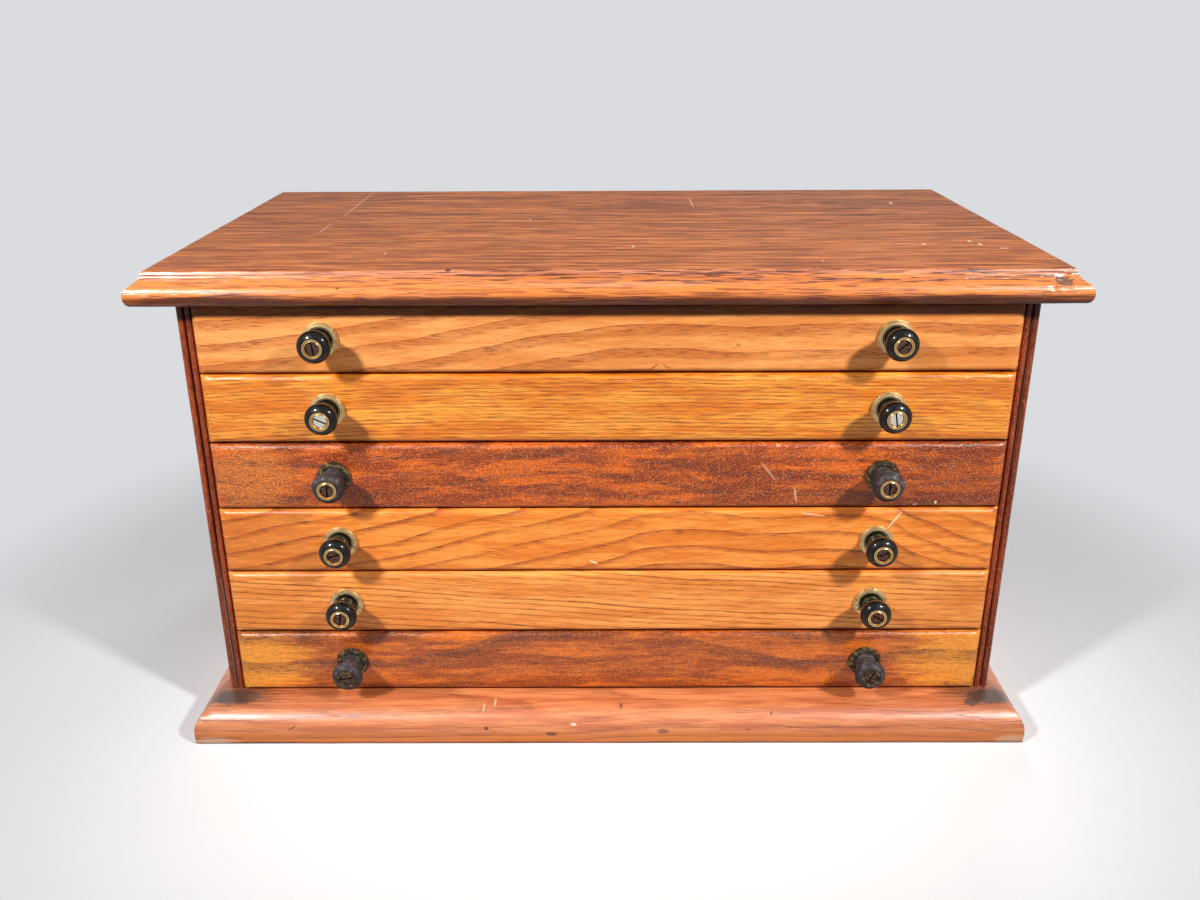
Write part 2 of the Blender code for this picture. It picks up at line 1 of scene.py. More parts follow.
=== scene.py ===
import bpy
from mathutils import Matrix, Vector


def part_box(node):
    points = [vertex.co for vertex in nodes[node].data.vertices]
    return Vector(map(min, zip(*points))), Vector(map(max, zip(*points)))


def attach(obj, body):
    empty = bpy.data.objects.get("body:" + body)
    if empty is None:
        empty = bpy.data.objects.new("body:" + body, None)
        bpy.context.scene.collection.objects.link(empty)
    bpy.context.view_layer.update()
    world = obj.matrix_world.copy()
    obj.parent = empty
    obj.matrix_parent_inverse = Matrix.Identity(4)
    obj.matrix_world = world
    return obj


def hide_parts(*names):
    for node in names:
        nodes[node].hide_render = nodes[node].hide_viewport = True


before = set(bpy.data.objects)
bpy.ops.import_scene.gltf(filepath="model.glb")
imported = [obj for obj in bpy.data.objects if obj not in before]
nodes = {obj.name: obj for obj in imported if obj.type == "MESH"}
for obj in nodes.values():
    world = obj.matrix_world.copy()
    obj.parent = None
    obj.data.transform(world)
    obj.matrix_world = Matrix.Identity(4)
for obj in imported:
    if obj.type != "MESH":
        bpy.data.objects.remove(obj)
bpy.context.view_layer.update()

# %% [markdown]
# # Dressing a worn spool cabinet
# The solids of the cabinet come in as a fixed frame: five boards of a case and six
# shallow drawers, each drawer a body of its own that slides along -Y. This lesson keeps
# their sizes and gives them what a photograph shows and a solid lacks: edges that hands
# and brooms have rounded, oak with its growth rings and pores, a varnish that has
# crackled with age, and turned knobs with brass on them.

# %% Modules and what came in
import math

import bmesh
import bpy
from mathutils import Matrix, Vector, noise

MM = 0.001  # the scene is in metres, and every size below is written in millimetres

# %% [markdown]
# ## Two helpers for materials
# Colours are easiest to choose as the hex values of a colour picker, which are sRGB.
# Shaders calculate with linear light, so one function converts them. A second function
# adds a node: it sets the node's properties, then fills its inputs with values or with
# links, so that a material reads as a list of steps.

# %% Colour and node helpers
def linear(code):
    """Linear red, green, blue and alpha of an sRGB hex code, by the sRGB curve."""
    shares = [int(code[place:place + 2], 16) / 255 for place in (0, 2, 4)]
    return [s / 12.92 if s <= 0.04045 else ((s + 0.055) / 1.055) ** 2.4 for s in shares] + [1]


def add(tree, kind, inputs=None, stops=None, curve=None, **settings):
    """A node with its settings. `inputs` takes values, nodes or sockets by name or number."""
    node = tree.nodes.new(kind)
    for name, value in settings.items():
        setattr(node, name, value)
    if stops:
        while len(node.color_ramp.elements) < len(stops):
            node.color_ramp.elements.new(0.5)
        for element, (place, level) in zip(node.color_ramp.elements, stops):
            element.position = place
            element.color = (level, level, level, 1)
    if curve:
        points = node.mapping.curves[0].points
        while len(points) < len(curve):
            points.new(0.5, 0.5)
        for step, level in enumerate(curve):
            points[step].location = (step / (len(curve) - 1), level)
        node.mapping.update()
    for key, value in (inputs or {}).items():
        if isinstance(key, str):
            socket = next(s for s in node.inputs if s.enabled and s.name == key)
        else:
            socket = node.inputs[key]
        if isinstance(value, bpy.types.Node):
            value = next(s for s in value.outputs if s.enabled)
        if isinstance(value, bpy.types.NodeSocket):
            tree.links.new(value, socket)
        else:
            socket.default_value = value
    return node


print("varnished oak, for example:", [round(level, 3) for level in linear("E08A44")[:3]])

# %% [markdown]
# ## The camera
# The photograph was taken from in front and above with a slightly wide lens. Its place
# was solved from the corners of the case: about 0.7 m before the drawers, looking down
# by 22 degrees. Three directions, to the right, up and back, make the camera's matrix.

# %% Camera
LENS_MM = 33.22
SENSOR_MM = 36
CAMERA_PLACE = Vector((-1.3, -844.6, 491.8)) * MM
CAMERA_DOWN = math.radians(21.57)
CAMERA_YAW = math.radians(-0.327)
CAMERA_ROLL = math.radians(-0.294)


def photo_camera():
    forward = Vector((math.sin(CAMERA_YAW) * math.cos(CAMERA_DOWN),
                      math.cos(CAMERA_YAW) * math.cos(CAMERA_DOWN), -math.sin(CAMERA_DOWN)))
    level = Vector((math.cos(CAMERA_YAW), -math.sin(CAMERA_YAW), 0))
    right = Matrix.Rotation(-CAMERA_ROLL, 3, forward) @ level
    camera = bpy.data.objects.new("camera", bpy.data.cameras.new("camera"))
    camera.data.sensor_width = SENSOR_MM
    camera.data.lens = LENS_MM
    camera.data.clip_start = 10 * MM
    turn = Matrix((right, right.cross(forward), -forward)).transposed()
    camera.matrix_world = Matrix.Translation(CAMERA_PLACE) @ turn.to_4x4()
    bpy.context.scene.collection.objects.link(camera)
    bpy.context.scene.camera = camera
    return camera


print("camera at", [round(value, 3) for value in photo_camera().location])

# %% [markdown]
# ## Lamps
# Two lamps stand in front of the cabinet, to the left and to the right, as they did for
# the photograph, so each knob throws its shadow inwards and down. They could be suns,
# but discs of 16 cm give shadows the soft rim of a real lamp. Two broad, weak ones reach
# what those leave dark: one hangs above the top board, one stands behind, and that one
# is kept out of reflections, or the top board would mirror it.

# %% Lamps
# Place and aim in m, watts, width of the disc in m, spread in degrees, and whether a
# glossy board may mirror it.
LAMPS = {"left": ((-0.86, -1.02, 1.10), (-0.18, -0.15, 0.18), 1.89, 0.16, 48, True),
         "right": ((1.00, -1.02, 1.14), (0.18, -0.15, 0.18), 2.15, 0.16, 48, True),
         "above": ((0.0, 0.30, 1.30), (0.0, 0.05, 0.34), 0.85, 0.50, 120, True),
         "behind": ((0.5, 1.40, 0.60), (0.0, 0.18, 0.15), 1.4, 0.60, 60, False)}


def lamp(name, place, aim, watts, size, spread, mirrored):
    data = bpy.data.lights.new(name, 'AREA')
    data.shape = 'DISK'
    data.size = size
    data.energy = watts
    data.spread = math.radians(spread)
    made = bpy.data.objects.new(name, data)
    made.location = place
    made.visible_glossy = mirrored
    made.rotation_euler = (Vector(aim) - Vector(place)).to_track_quat('-Z', 'Y').to_euler()
    bpy.context.scene.collection.objects.link(made)


for side, settings in LAMPS.items():
    lamp("lamp_" + side, *settings)
bpy.context.scene.view_settings.view_transform = 'Standard'
print("lamps:", ", ".join(LAMPS))

# %% [markdown]
# ## Surroundings and floor
# The level is plain: a colour renders about as bright as it is written. The floor could
# be a sheet bent up behind the cabinet, but a flat disc that fades into its pale
# surroundings leaves neither a horizon nor a fold. Both are pale only where they are
# seen or mirrored. They send back less light than they show, or their glow would fill
# the shadows between the drawers.

# %% Surroundings and floor
SMOOTH = {"interpolation_type": 'SMOOTHSTEP'}
PALE = linear("DADCDF")
FILL_STRENGTH = 0.045
# Radii in metres: of the disc, and between which it fades.
FLOOR_RADIUS = 9
FADE_RADII = (0.33, 0.66)


def seen_or_mirrored(tree):
    """1 for rays from the camera and for those that gloss or glass has turned, else 0."""
    rays = add(tree, 'ShaderNodeLightPath')
    seen = rays.outputs["Is Camera Ray"]
    for kind in ("Is Glossy Ray", "Is Transmission Ray"):
        seen = add(tree, 'ShaderNodeMath', {0: seen, 1: rays.outputs[kind]}, operation='MAXIMUM')
    return seen


def surroundings():
    """Dim for the light that falls on the cabinet, pale where they are seen or mirrored."""
    world = bpy.data.worlds.new("studio")
    world.use_nodes = True
    tree = world.node_tree
    tree.nodes.clear()
    seen = seen_or_mirrored(tree)
    fill = add(tree, 'ShaderNodeBackground', {"Color": linear("DDE3EC"),
                                              "Strength": FILL_STRENGTH})
    pale = add(tree, 'ShaderNodeBackground', {"Color": PALE, "Strength": 1.0})
    mix = add(tree, 'ShaderNodeMixShader', {0: seen, 1: fill, 2: pale})
    add(tree, 'ShaderNodeOutputWorld', {"Surface": mix})
    bpy.context.scene.world = world


def floor_paint():
    """Rolled, matt paint: it mirrors nothing, so the eye sees soft shadows and no image."""
    material = bpy.data.materials.new("pale_floor_paint")
    material.use_nodes = True
    tree = material.node_tree
    tree.nodes.clear()
    place = add(tree, 'ShaderNodeTexCoord').outputs["Object"]
    out = add(tree, 'ShaderNodeVectorMath', {0: place}, operation='LENGTH').outputs["Value"]
    far = add(tree, 'ShaderNodeMapRange', {"Value": out, "From Min": FADE_RADII[0],
                                           "From Max": FADE_RADII[1]}, **SMOOTH)
    seen = seen_or_mirrored(tree)
    tone = add(tree, 'ShaderNodeMix', {"Factor": seen, "A": linear("3A3B3D"),
                                       "B": linear("ECEDEE")}, data_type='RGBA')
    matt = add(tree, 'ShaderNodeBsdfDiffuse', {"Color": tone})
    glow = add(tree, 'ShaderNodeEmission', {"Color": PALE, "Strength": 1.0})
    share = add(tree, 'ShaderNodeMath', {0: far, 1: seen}, operation='MULTIPLY')
    mix = add(tree, 'ShaderNodeMixShader', {0: share, 1: matt, 2: glow})
    add(tree, 'ShaderNodeOutputMaterial', {"Surface": mix})
    return material


def studio_floor():
    bm = bmesh.new()
    bmesh.ops.create_circle(bm, cap_ends=True, segments=96, radius=FLOOR_RADIUS)
    mesh = bpy.data.meshes.new("floor")
    bm.to_mesh(mesh)
    bm.free()
    mesh.materials.append(floor_paint())
    floor = bpy.data.objects.new("floor", mesh)
    bpy.context.scene.collection.objects.link(floor)


surroundings()
studio_floor()
print("a floor of", FLOOR_RADIUS, "m radius, fading out from", FADE_RADII[0], "m")

# %% [markdown]
# ## Oak, from the inside out
# A board is cut from a trunk, so its figure is the trunk's growth rings met at a slant.
# The pattern could be painted as lines, but measuring the distance to the heart of the
# tree gives lines that bend over every rounded edge by themselves, and arcs on the end
# grain. The heart wanders along the board, which a curve describes: where it rises, the
# lines on the face rise too. Oak is ring-porous, so each ring starts with a dark, open
# band and fades into dense late wood. Stretched noise makes the lines waver over a hand's
# breadth, tremble over a few millimetres, and fade in and out in patches.

# %% Patterns of the wood
# How long and how wide each of these features is, in mm.
WAVER_LONG_MM = 90
JITTER_MM = (9, 3)
FADE_MM = (70, 14)
# Each pattern reads the noise at its own step from the board's seed, so no two agree.
SEED_STEPS = {"fade": 1.3, "grit": 2.8, "waver": 3.1, "gloss": 4.4, "tone": 5.5, "age": 6.6,
              "jitter": 7.7, "pores": 9.2}


def stretched(tree, place, size_mm, seed, detail=2.0, rough=0.5):
    """Noise with features of that length and width, on a board that runs along X."""
    scale = (1 / (size_mm[0] * MM), 1 / (size_mm[1] * MM), 1 / (size_mm[1] * MM))
    wide = add(tree, 'ShaderNodeVectorMath', {0: place, 1: scale}, operation='MULTIPLY')
    return add(tree, 'ShaderNodeTexNoise',
               {"Vector": wide, "W": seed, "Scale": 1.0, "Detail": detail, "Roughness": rough},
               noise_dimensions='4D')


def board_place(tree, centre, grain):
    """Coordinates with X along the grain, Y into the board and Z across its face."""
    place = add(tree, 'ShaderNodeTexCoord').outputs["Object"]
    moved = add(tree, 'ShaderNodeVectorMath', {0: place, 1: centre}, operation='SUBTRACT')
    axes = add(tree, 'ShaderNodeSeparateXYZ', {0: moved})
    return add(tree, 'ShaderNodeCombineXYZ',
               {key: axes.outputs[axis] for key, axis in zip(("X", "Y", "Z"), grain)})


def ring_count(tree, place, finish):
    """How many rings lie between the heart of the tree and this point."""
    half = finish["half_mm"] * MM
    axes = add(tree, 'ShaderNodeSeparateXYZ', {0: place})
    along = add(tree, 'ShaderNodeMapRange', {"Value": axes.outputs["X"], "From Min": -half,
                                             "From Max": half})
    lift = add(tree, 'ShaderNodeFloatCurve', {"Value": along}, curve=finish["path_shares"])
    waver = stretched(tree, place, (WAVER_LONG_MM, finish["waver_wide_mm"]),
                      finish["seed"] + SEED_STEPS["waver"], 1.5)
    jitter = stretched(tree, place, JITTER_MM, finish["seed"] + SEED_STEPS["jitter"], 1.0)
    height = axes.outputs["Z"]
    for source, amount in ((lift, -finish["path_mm"]), (waver, finish["waver_mm"]),
                           (jitter, finish["jitter_mm"])):
        height = add(tree, 'ShaderNodeMath', {0: source, 1: amount * MM, 2: height},
                     operation='MULTIPLY_ADD')
    across = add(tree, 'ShaderNodeMath', {0: height, 1: finish["heart_mm"][1] * MM},
                 operation='SUBTRACT')
    depth = add(tree, 'ShaderNodeMath', {0: axes.outputs["Y"], 1: finish["heart_mm"][0] * MM},
                operation='SUBTRACT')
    flat = add(tree, 'ShaderNodeCombineXYZ', {"X": depth, "Y": across})
    reach = add(tree, 'ShaderNodeVectorMath', {0: flat}, operation='LENGTH').outputs["Value"]
    return add(tree, 'ShaderNodeMath', {0: reach, 1: finish["ring_mm"] * MM}, operation='DIVIDE')


def early_wood(tree, place, finish):
    """Strength of the dark band that each ring starts with, uneven from ring to ring."""
    count = ring_count(tree, place, finish)
    share = add(tree, 'ShaderNodeMath', {0: count}, operation='FRACT')
    band = add(tree, 'ShaderNodeValToRGB', {0: share}, stops=finish["band_shares"])
    number = add(tree, 'ShaderNodeMath', {0: count}, operation='FLOOR')
    own = add(tree, 'ShaderNodeTexWhiteNoise', {"W": number}, noise_dimensions='1D')
    level = add(tree, 'ShaderNodeMapRange', {"Value": own, "To Min": finish["weakest"],
                                             "To Max": 1.0})
    fade = add(tree, 'ShaderNodeMapRange',
               {"Value": stretched(tree, place, FADE_MM, finish["seed"] + SEED_STEPS["fade"]),
                "From Min": 0.22, "From Max": 0.46}, **SMOOTH)
    whole = add(tree, 'ShaderNodeMath', {0: band, 1: level}, operation='MULTIPLY')
    return add(tree, 'ShaderNodeMath', {0: whole, 1: fade}, operation='MULTIPLY')


print("noise, ring and band patterns are ready")

# %% [markdown]
# ## Marks that time left, and painted shade
# Scratches, chips, stains and dust could be painted on an image, but then they would
# blur close by. The same holds for a few dark bands of painted shade. Here all are soft
# ellipses with a ragged rim: long and thin for a scratch, round for a stain. A Mapping
# node moves and turns the coordinates so that the ellipse becomes a unit ball, and its
# distance from the centre is the mask.

# %% Marks
# A mark has a rim 2.4 mm coarse; a stain, like a band of painted shade, is soft, and streaky along
# the grain.
MARK_RIM = {"ragged": 0.9, "rim_mm": (2.4, 2.4), "soft": 0.3}
STAIN_AND_SHADE_RIM = {"ragged": 1.6, "rim_mm": (26, 2.6), "soft": 0.6}


def mark_mask(tree, spot, size, turn, ragged, rim_mm, soft):
    """1 inside an ellipsoid of that place and size, in mm, and 0 outside it."""
    place = add(tree, 'ShaderNodeTexCoord').outputs["Object"]
    unit = add(tree, 'ShaderNodeMapping',
               {"Vector": place, "Location": [value * MM for value in spot],
                "Rotation": (0, math.radians(turn), 0), "Scale": [value * MM for value in size]},
               vector_type='TEXTURE')
    out = add(tree, 'ShaderNodeVectorMath', {0: unit}, operation='LENGTH').outputs["Value"]
    rim = stretched(tree, place, rim_mm, spot[0], 3.0)
    uneven = add(tree, 'ShaderNodeMath', {0: rim, 1: ragged, 2: out}, operation='MULTIPLY_ADD')
    edge = 1.05 + ragged / 2  # the noise adds half of `ragged` on average
    return add(tree, 'ShaderNodeMapRange',
               {"Value": uneven, "From Min": edge - soft, "From Max": edge,
                "To Min": 1.0, "To Max": 0.0}, **SMOOTH)


print("marks are ellipsoids, measured in mm")

# %% [markdown]
# ## A plain oak board
# Every board is described by a small table of its own: two tones of wood, the colours of
# its bands and pores, the width of its rings, and how far its varnish has crackled. What
# such a table leaves out comes from PLAIN_OAK. Real pores are about 0.3 mm wide, and a
# pixel of the picture covers 0.6 mm, so they are drawn 0.6 to 0.9 mm wide, or they would
# not show. Colours lie over each other like glazes: a mask says where, a strength how
# thickly.

# %% A plain oak board
PLAIN_OAK = {
    # The axes that run along the grain, into the board and across it; half its length.
    "grain": ("X", "Y", "Z"), "half_mm": 270,
    # The heart of the tree behind and below the face, and how the grain climbs.
    "heart_mm": (30, -90), "path_shares": [0, 0, 0, 0], "path_mm": 0,
    "waver_mm": 7, "waver_wide_mm": 26, "jitter_mm": 0.9,
    # The dark band over one ring, its strength, and the faintest ring's share of it.
    "band_shares": [(0.0, 1.0), (0.06, 0.75), (0.30, 0.28), (0.62, 0.02), (0.94, 0.0), (1.0, 0.9)],
    "band_strength": 0.7, "weakest": 0.35,
    # Streaks and pores: length and width, the noise levels between which a pore begins,
    # and how many pores lie loose, outside the bands.
    "tone_mm": (80, 9), "pore_mm": (7, 0.9), "pore_cut": (0.53, 0.62),
    "pore_strength": 0.8, "loose": 0.35,
    # Varnish: a coat of shellac, its crackle, its specks, and how deep all relief looks.
    "coat": 0.35, "coat_rough": 0.28, "coat_ior": 1.5,
    "crackle": 0.0, "crackle_mm": 1.2, "speckle": 0.0, "bump": 0.5,
    # Marks, and stains with a few bands of painted shade among them: place, half sizes in
    # mm, turn in degrees, colour, strength. Zones: height and softness in mm, colour,
    # roughness, coat.
    "marks": [], "stains_and_shade": [], "zones": [],
}


def paint(tree, colour, mask, code, strength):
    """Lays a colour over another where the mask says."""
    amount = add(tree, 'ShaderNodeMath', {0: mask, 1: strength}, operation='MULTIPLY')
    return add(tree, 'ShaderNodeMix', {"Factor": amount, "A": colour, "B": linear(code)},
               data_type='RGBA')


def streaks_and_pores(tree, place, finish, band):
    """Cloudy streaks, the share of the deeper tone, and dashes that gather in the bands."""
    streaks = stretched(tree, place, finish["tone_mm"], finish["seed"] + SEED_STEPS["tone"],
                        3.0, 0.68)
    tone = add(tree, 'ShaderNodeMapRange', {"Value": streaks, "From Min": 0.40, "From Max": 0.60},
               **SMOOTH)
    dashes = stretched(tree, place, finish["pore_mm"], finish["seed"] + SEED_STEPS["pores"], 1.5)
    pores = add(tree, 'ShaderNodeMapRange', {"Value": dashes, "From Min": finish["pore_cut"][0],
                                             "From Max": finish["pore_cut"][1]}, **SMOOTH)
    gathered = add(tree, 'ShaderNodeMath', {0: band, 1: 1.1, 2: finish["loose"]},
                   operation='MULTIPLY_ADD')
    pores = add(tree, 'ShaderNodeMath', {0: pores, 1: gathered}, operation='MULTIPLY',
                use_clamp=True)
    return streaks, tone, pores


print("a plain board has", len(PLAIN_OAK), "settings")

# %% [markdown]
# ## Worn and shaded mouldings, crackled shellac
# Polish gathers and hands rub at certain heights of a moulding, and at others a zone
# paints shade or a sheen. These could be separate materials, but then their borders
# would be hard; here each height is a zone with a wavy border, below which colour,
# roughness and coat change. Old shellac shrinks into islands, like a dried pond, which a
# Voronoi pattern's borders give. Real islands are about half a millimetre wide, too fine
# to show, so they are drawn 1.2 mm wide.

# %% Zones and crackle
# Depths of the relief in mm, because the Bump node's distance is one millimetre.
PORE_DEPTH_MM, CRACK_DEPTH_MM, MARK_DEPTH_MM, GRIT_HEIGHT_MM = 0.16, 0.14, 0.15, 0.05
CRACK_COLOUR = "2E0F06"
AGE_MM = (60, 18)


def worn_and_shaded_zones(tree, finish, streaks, tone, colour, dull):
    """Colour, roughness and coat, changed below the height of each zone."""
    coat = finish["coat"]
    place = add(tree, 'ShaderNodeTexCoord').outputs["Object"]
    axes = add(tree, 'ShaderNodeSeparateXYZ', {0: place})
    for level, soft, code, rough, gloss in finish["zones"]:
        wavy = add(tree, 'ShaderNodeMath', {0: streaks, 1: soft * MM, 2: axes.outputs["Z"]},
                   operation='MULTIPLY_ADD')
        under = add(tree, 'ShaderNodeMapRange',
                    {"Value": wavy, "From Min": level * MM, "From Max": (level + soft) * MM,
                     "To Min": 1.0, "To Max": 0.0})
        toned = add(tree, 'ShaderNodeMath', {0: tone, 1: -0.35, 2: 1.0}, operation='MULTIPLY_ADD')
        under = add(tree, 'ShaderNodeMath', {0: under, 1: toned}, operation='MULTIPLY')
        colour = paint(tree, colour, under, code, 1.0)
        dull = add(tree, 'ShaderNodeMix', {"Factor": under, "A": dull, "B": rough},
                   data_type='FLOAT')
        coat = add(tree, 'ShaderNodeMix', {"Factor": under, "A": coat, "B": gloss},
                   data_type='FLOAT')
    return colour, dull, coat


def islands(tree, place, size_mm):
    """Cracks between the islands of old varnish: 1 in a crack, 0 on an island."""
    drift = add(tree, 'ShaderNodeTexNoise', {"Vector": place, "Scale": 0.8 / (size_mm * MM),
                                             "Detail": 2.0})
    shift = add(tree, 'ShaderNodeVectorMath',
                {0: drift.outputs["Color"], 1: [0.9 * size_mm * MM] * 3, 2: place},
                operation='MULTIPLY_ADD')
    cells = add(tree, 'ShaderNodeTexVoronoi', {"Vector": shift, "Scale": 1 / (size_mm * MM)},
                feature='DISTANCE_TO_EDGE')
    return add(tree, 'ShaderNodeMapRange',
               {"Value": cells, "From Min": 0.02, "From Max": 0.20, "To Min": 1.0, "To Max": 0.0},
               **SMOOTH)


def crackled(tree, place, finish, colour, height):
    """Colour and height with cracks where the shellac is old, but not where it is rubbed off."""
    age = stretched(tree, place, AGE_MM, finish["seed"] + SEED_STEPS["age"])
    old = add(tree, 'ShaderNodeMapRange', {"Value": age, "From Min": 0.22, "From Max": 0.52},
              **SMOOTH)
    for spot, size, turn, code, strength in finish["stains_and_shade"]:
        if strength > 0.8:
            rubbed = mark_mask(tree, spot, size, turn, **STAIN_AND_SHADE_RIM)
            old = add(tree, 'ShaderNodeMath', {0: old, 1: rubbed}, operation='SUBTRACT',
                      use_clamp=True)
    cracks = add(tree, 'ShaderNodeMath', {0: islands(tree, place, finish["crackle_mm"]), 1: old},
                 operation='MULTIPLY')
    depth = -CRACK_DEPTH_MM * finish["crackle"]
    height = add(tree, 'ShaderNodeMath', {0: cracks, 1: depth, 2: height},
                 operation='MULTIPLY_ADD')
    return paint(tree, colour, cracks, CRACK_COLOUR, finish["crackle"]), height


print("cracks go", CRACK_DEPTH_MM, "mm deep, pores", PORE_DEPTH_MM, "mm")

# %% [markdown]
# ## Varnished oak
# One function now builds every board's material from the inside out: the wood with its
# streaks, stains that soaked in, and painted shade, with bands and pores over them, then
# the varnish with its crackle and grit, and the marks on top. The same masks feed colour
# and bump, so a pore is dark and also catches light. Grit that settled in wet varnish is
# finer than a pixel and is drawn 0.8 to 1.5 mm wide. The wood itself hardly shines; the
# coat over it does.

# %% Varnished oak
GRIT_MM = (1.5, 0.8)
GLOSS_MM = (30, 12)
# Noise levels between which a bright or a dark speck fades in, and its colour.
SPECKS = (((0.55, 0.64), "FF9A48"), ((0.50, 0.38), "300C04"))
WOOD_SHEEN = 0.12


def varnished_oak(name, centre, **own):
    """Oak under old varnish, for a board whose face is centred at `centre`."""
    finish = {**PLAIN_OAK, **own}
    seed = finish["seed"]
    material = bpy.data.materials.new(name)
    material.use_nodes = True
    tree = material.node_tree
    place = board_place(tree, centre, finish["grain"])
    band = early_wood(tree, place, finish)
    streaks, tone, pores = streaks_and_pores(tree, place, finish, band)
    colour = add(tree, 'ShaderNodeMix', {"Factor": tone, "A": linear(finish["light"]),
                                         "B": linear(finish["deep"])}, data_type='RGBA')
    dull = add(tree, 'ShaderNodeMapRange',
               {"Value": stretched(tree, place, GLOSS_MM, seed + SEED_STEPS["gloss"], 3.0),
                "To Min": finish["rough"] - 0.10, "To Max": finish["rough"] + 0.12})
    colour, dull, coat = worn_and_shaded_zones(tree, finish, streaks, tone, colour, dull)
    # Stains and the bands of painted shade go on under the grain.
    for spot, size, turn, code, strength in finish["stains_and_shade"]:
        colour = paint(tree, colour, mark_mask(tree, spot, size, turn, **STAIN_AND_SHADE_RIM), code, strength)
    colour = paint(tree, colour, band, finish["band"], finish["band_strength"])
    colour = paint(tree, colour, pores, finish["pore"], finish["pore_strength"])
    height = add(tree, 'ShaderNodeMath', {0: pores, 1: -PORE_DEPTH_MM}, operation='MULTIPLY')
    if finish["crackle"]:
        colour, height = crackled(tree, place, finish, colour, height)
    grit = stretched(tree, place, GRIT_MM, seed + SEED_STEPS["grit"], 2.0, 0.6)
    if finish["speckle"]:
        for (begin, full), code in SPECKS:
            spots = add(tree, 'ShaderNodeMapRange', {"Value": grit, "From Min": begin,
                                                     "From Max": full}, **SMOOTH)
            colour = paint(tree, colour, spots, code, finish["speckle"])
    for spot, size, turn, code, strength in finish["marks"]:
        mask = mark_mask(tree, spot, size, turn, **MARK_RIM)
        colour = paint(tree, colour, mask, code, strength)
        height = add(tree, 'ShaderNodeMath', {0: mask, 1: -MARK_DEPTH_MM, 2: height},
                     operation='MULTIPLY_ADD')
    height = add(tree, 'ShaderNodeMath', {0: grit, 1: GRIT_HEIGHT_MM, 2: height},
                 operation='MULTIPLY_ADD')
    bump = add(tree, 'ShaderNodeBump', {"Height": height, "Distance": MM,
                                        "Strength": finish["bump"]})
    shader = tree.nodes["Principled BSDF"]
    shader.inputs["Specular IOR Level"].default_value = WOOD_SHEEN
    shader.inputs["Coat Weight"].default_value = finish["coat"]
    shader.inputs["Coat Roughness"].default_value = finish["coat_rough"]
    shader.inputs["Coat IOR"].default_value = finish["coat_ior"]
    sources = {"Base Color": colour, "Roughness": dull, "Normal": bump, "Coat Normal": bump}
    if finish["zones"]:
        sources["Coat Weight"] = coat
    for key, source in sources.items():
        tree.links.new(next(s for s in source.outputs if s.enabled), shader.inputs[key])
    return material


print("varnished oak has relief up to", PORE_DEPTH_MM, "mm deep")

# %% [markdown]
# ## Boards with worn edges
# The solids already have the right mouldings, but each is a set of loose, flat triangles
# with dead straight edges. A Bevel modifier would round them all alike, and wear is
# uneven. So a copy is merged, its flat triangles are dissolved, and planes cut it into
# short strips, so that a gentle noise can move its vertices: about a tenth of a
# millimetre, as much as years of handling take off. A chip moves the vertices near one
# point inwards. Weighted normals then shade the mouldings round and the flat faces flat.

# %% Worn copies of the solids
WEAR_MM = 0.14
WEAR_WAVE_MM = 24
MERGE_MM = 0.01
FLAT_DEGREES = 0.4
SHARP_DEGREES = 34
FACE_WEIGHT = 80
CHIP_CUTS = (-0.8, -0.4, 0, 0.4, 0.8)
noise.seed_set(7)  # or this noise would start from the clock and differ at every run


def cut_planes(bm, axis, places):
    """Cuts right through the mesh, square to an axis."""
    normal = Vector([1 if index == axis else 0 for index in range(3)])
    for value in places:
        geometry = bm.verts[:] + bm.edges[:] + bm.faces[:]
        bmesh.ops.bisect_plane(bm, geom=geometry, dist=MERGE_MM * MM, plane_co=normal * value,
                               plane_no=normal)


def steps(low, high, size):
    count = max(1, round((high - low) / size))
    return [low + (high - low) * (index + 0.5) / count for index in range(count)]


def wear(point, seed):
    """How far one point of an edge has worn, as a vector."""
    at = point / (WEAR_WAVE_MM * MM) + Vector((seed, 0, 0))
    return noise.noise_vector(at) * WEAR_MM * MM


def chip(bm, centre, radius, depth, inwards):
    """Pushes the vertices around one point inwards, most of all in the middle."""
    for vert in bm.verts:
        share = (vert.co - centre).length / radius
        if share < 1:
            rough = 0.7 + 0.6 * noise.noise(vert.co / MM)
            vert.co += inwards * depth * (1 - share * share) * rough


def worn_copy(name, node, cuts_mm, chips=(), back=1.0, seed=0.0):
    """A merged copy of a solid, cut along some axes, worn before `back` and chipped."""
    bm = bmesh.new()
    bm.from_mesh(nodes[node].data)
    bmesh.ops.remove_doubles(bm, verts=bm.verts, dist=MERGE_MM * MM)
    bmesh.ops.dissolve_limit(bm, angle_limit=math.radians(FLAT_DEGREES), verts=bm.verts,
                             edges=bm.edges)
    low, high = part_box(node)
    for letter, size in cuts_mm.items():
        axis = "XYZ".index(letter)
        cut_planes(bm, axis, steps(low[axis], high[axis], size * MM))
    for spot, radius, depth in chips:
        for axis, value in enumerate(Vector(spot) * MM):
            cut_planes(bm, axis, [value + radius * MM * share for share in CHIP_CUTS])
    for vert in bm.verts:
        if vert.co.y < back:
            vert.co += wear(vert.co, seed)
    middle = (low + high) / 2
    for spot, radius, depth in chips:
        centre = Vector(spot) * MM
        inwards = Vector((0, middle.y - centre.y, (middle.z - centre.z) * 2)).normalized()
        chip(bm, centre, radius * MM, depth * MM, inwards)
    mesh = bpy.data.meshes.new(name)
    bm.to_mesh(mesh)
    bm.free()
    mesh.shade_smooth()
    mesh.set_sharp_from_angle(angle=math.radians(SHARP_DEGREES))
    piece = bpy.data.objects.new(name, mesh)
    bpy.context.scene.collection.objects.link(piece)
    normals = piece.modifiers.new("even_shading", 'WEIGHTED_NORMAL')
    normals.keep_sharp = True
    normals.weight = FACE_WEIGHT
    return piece


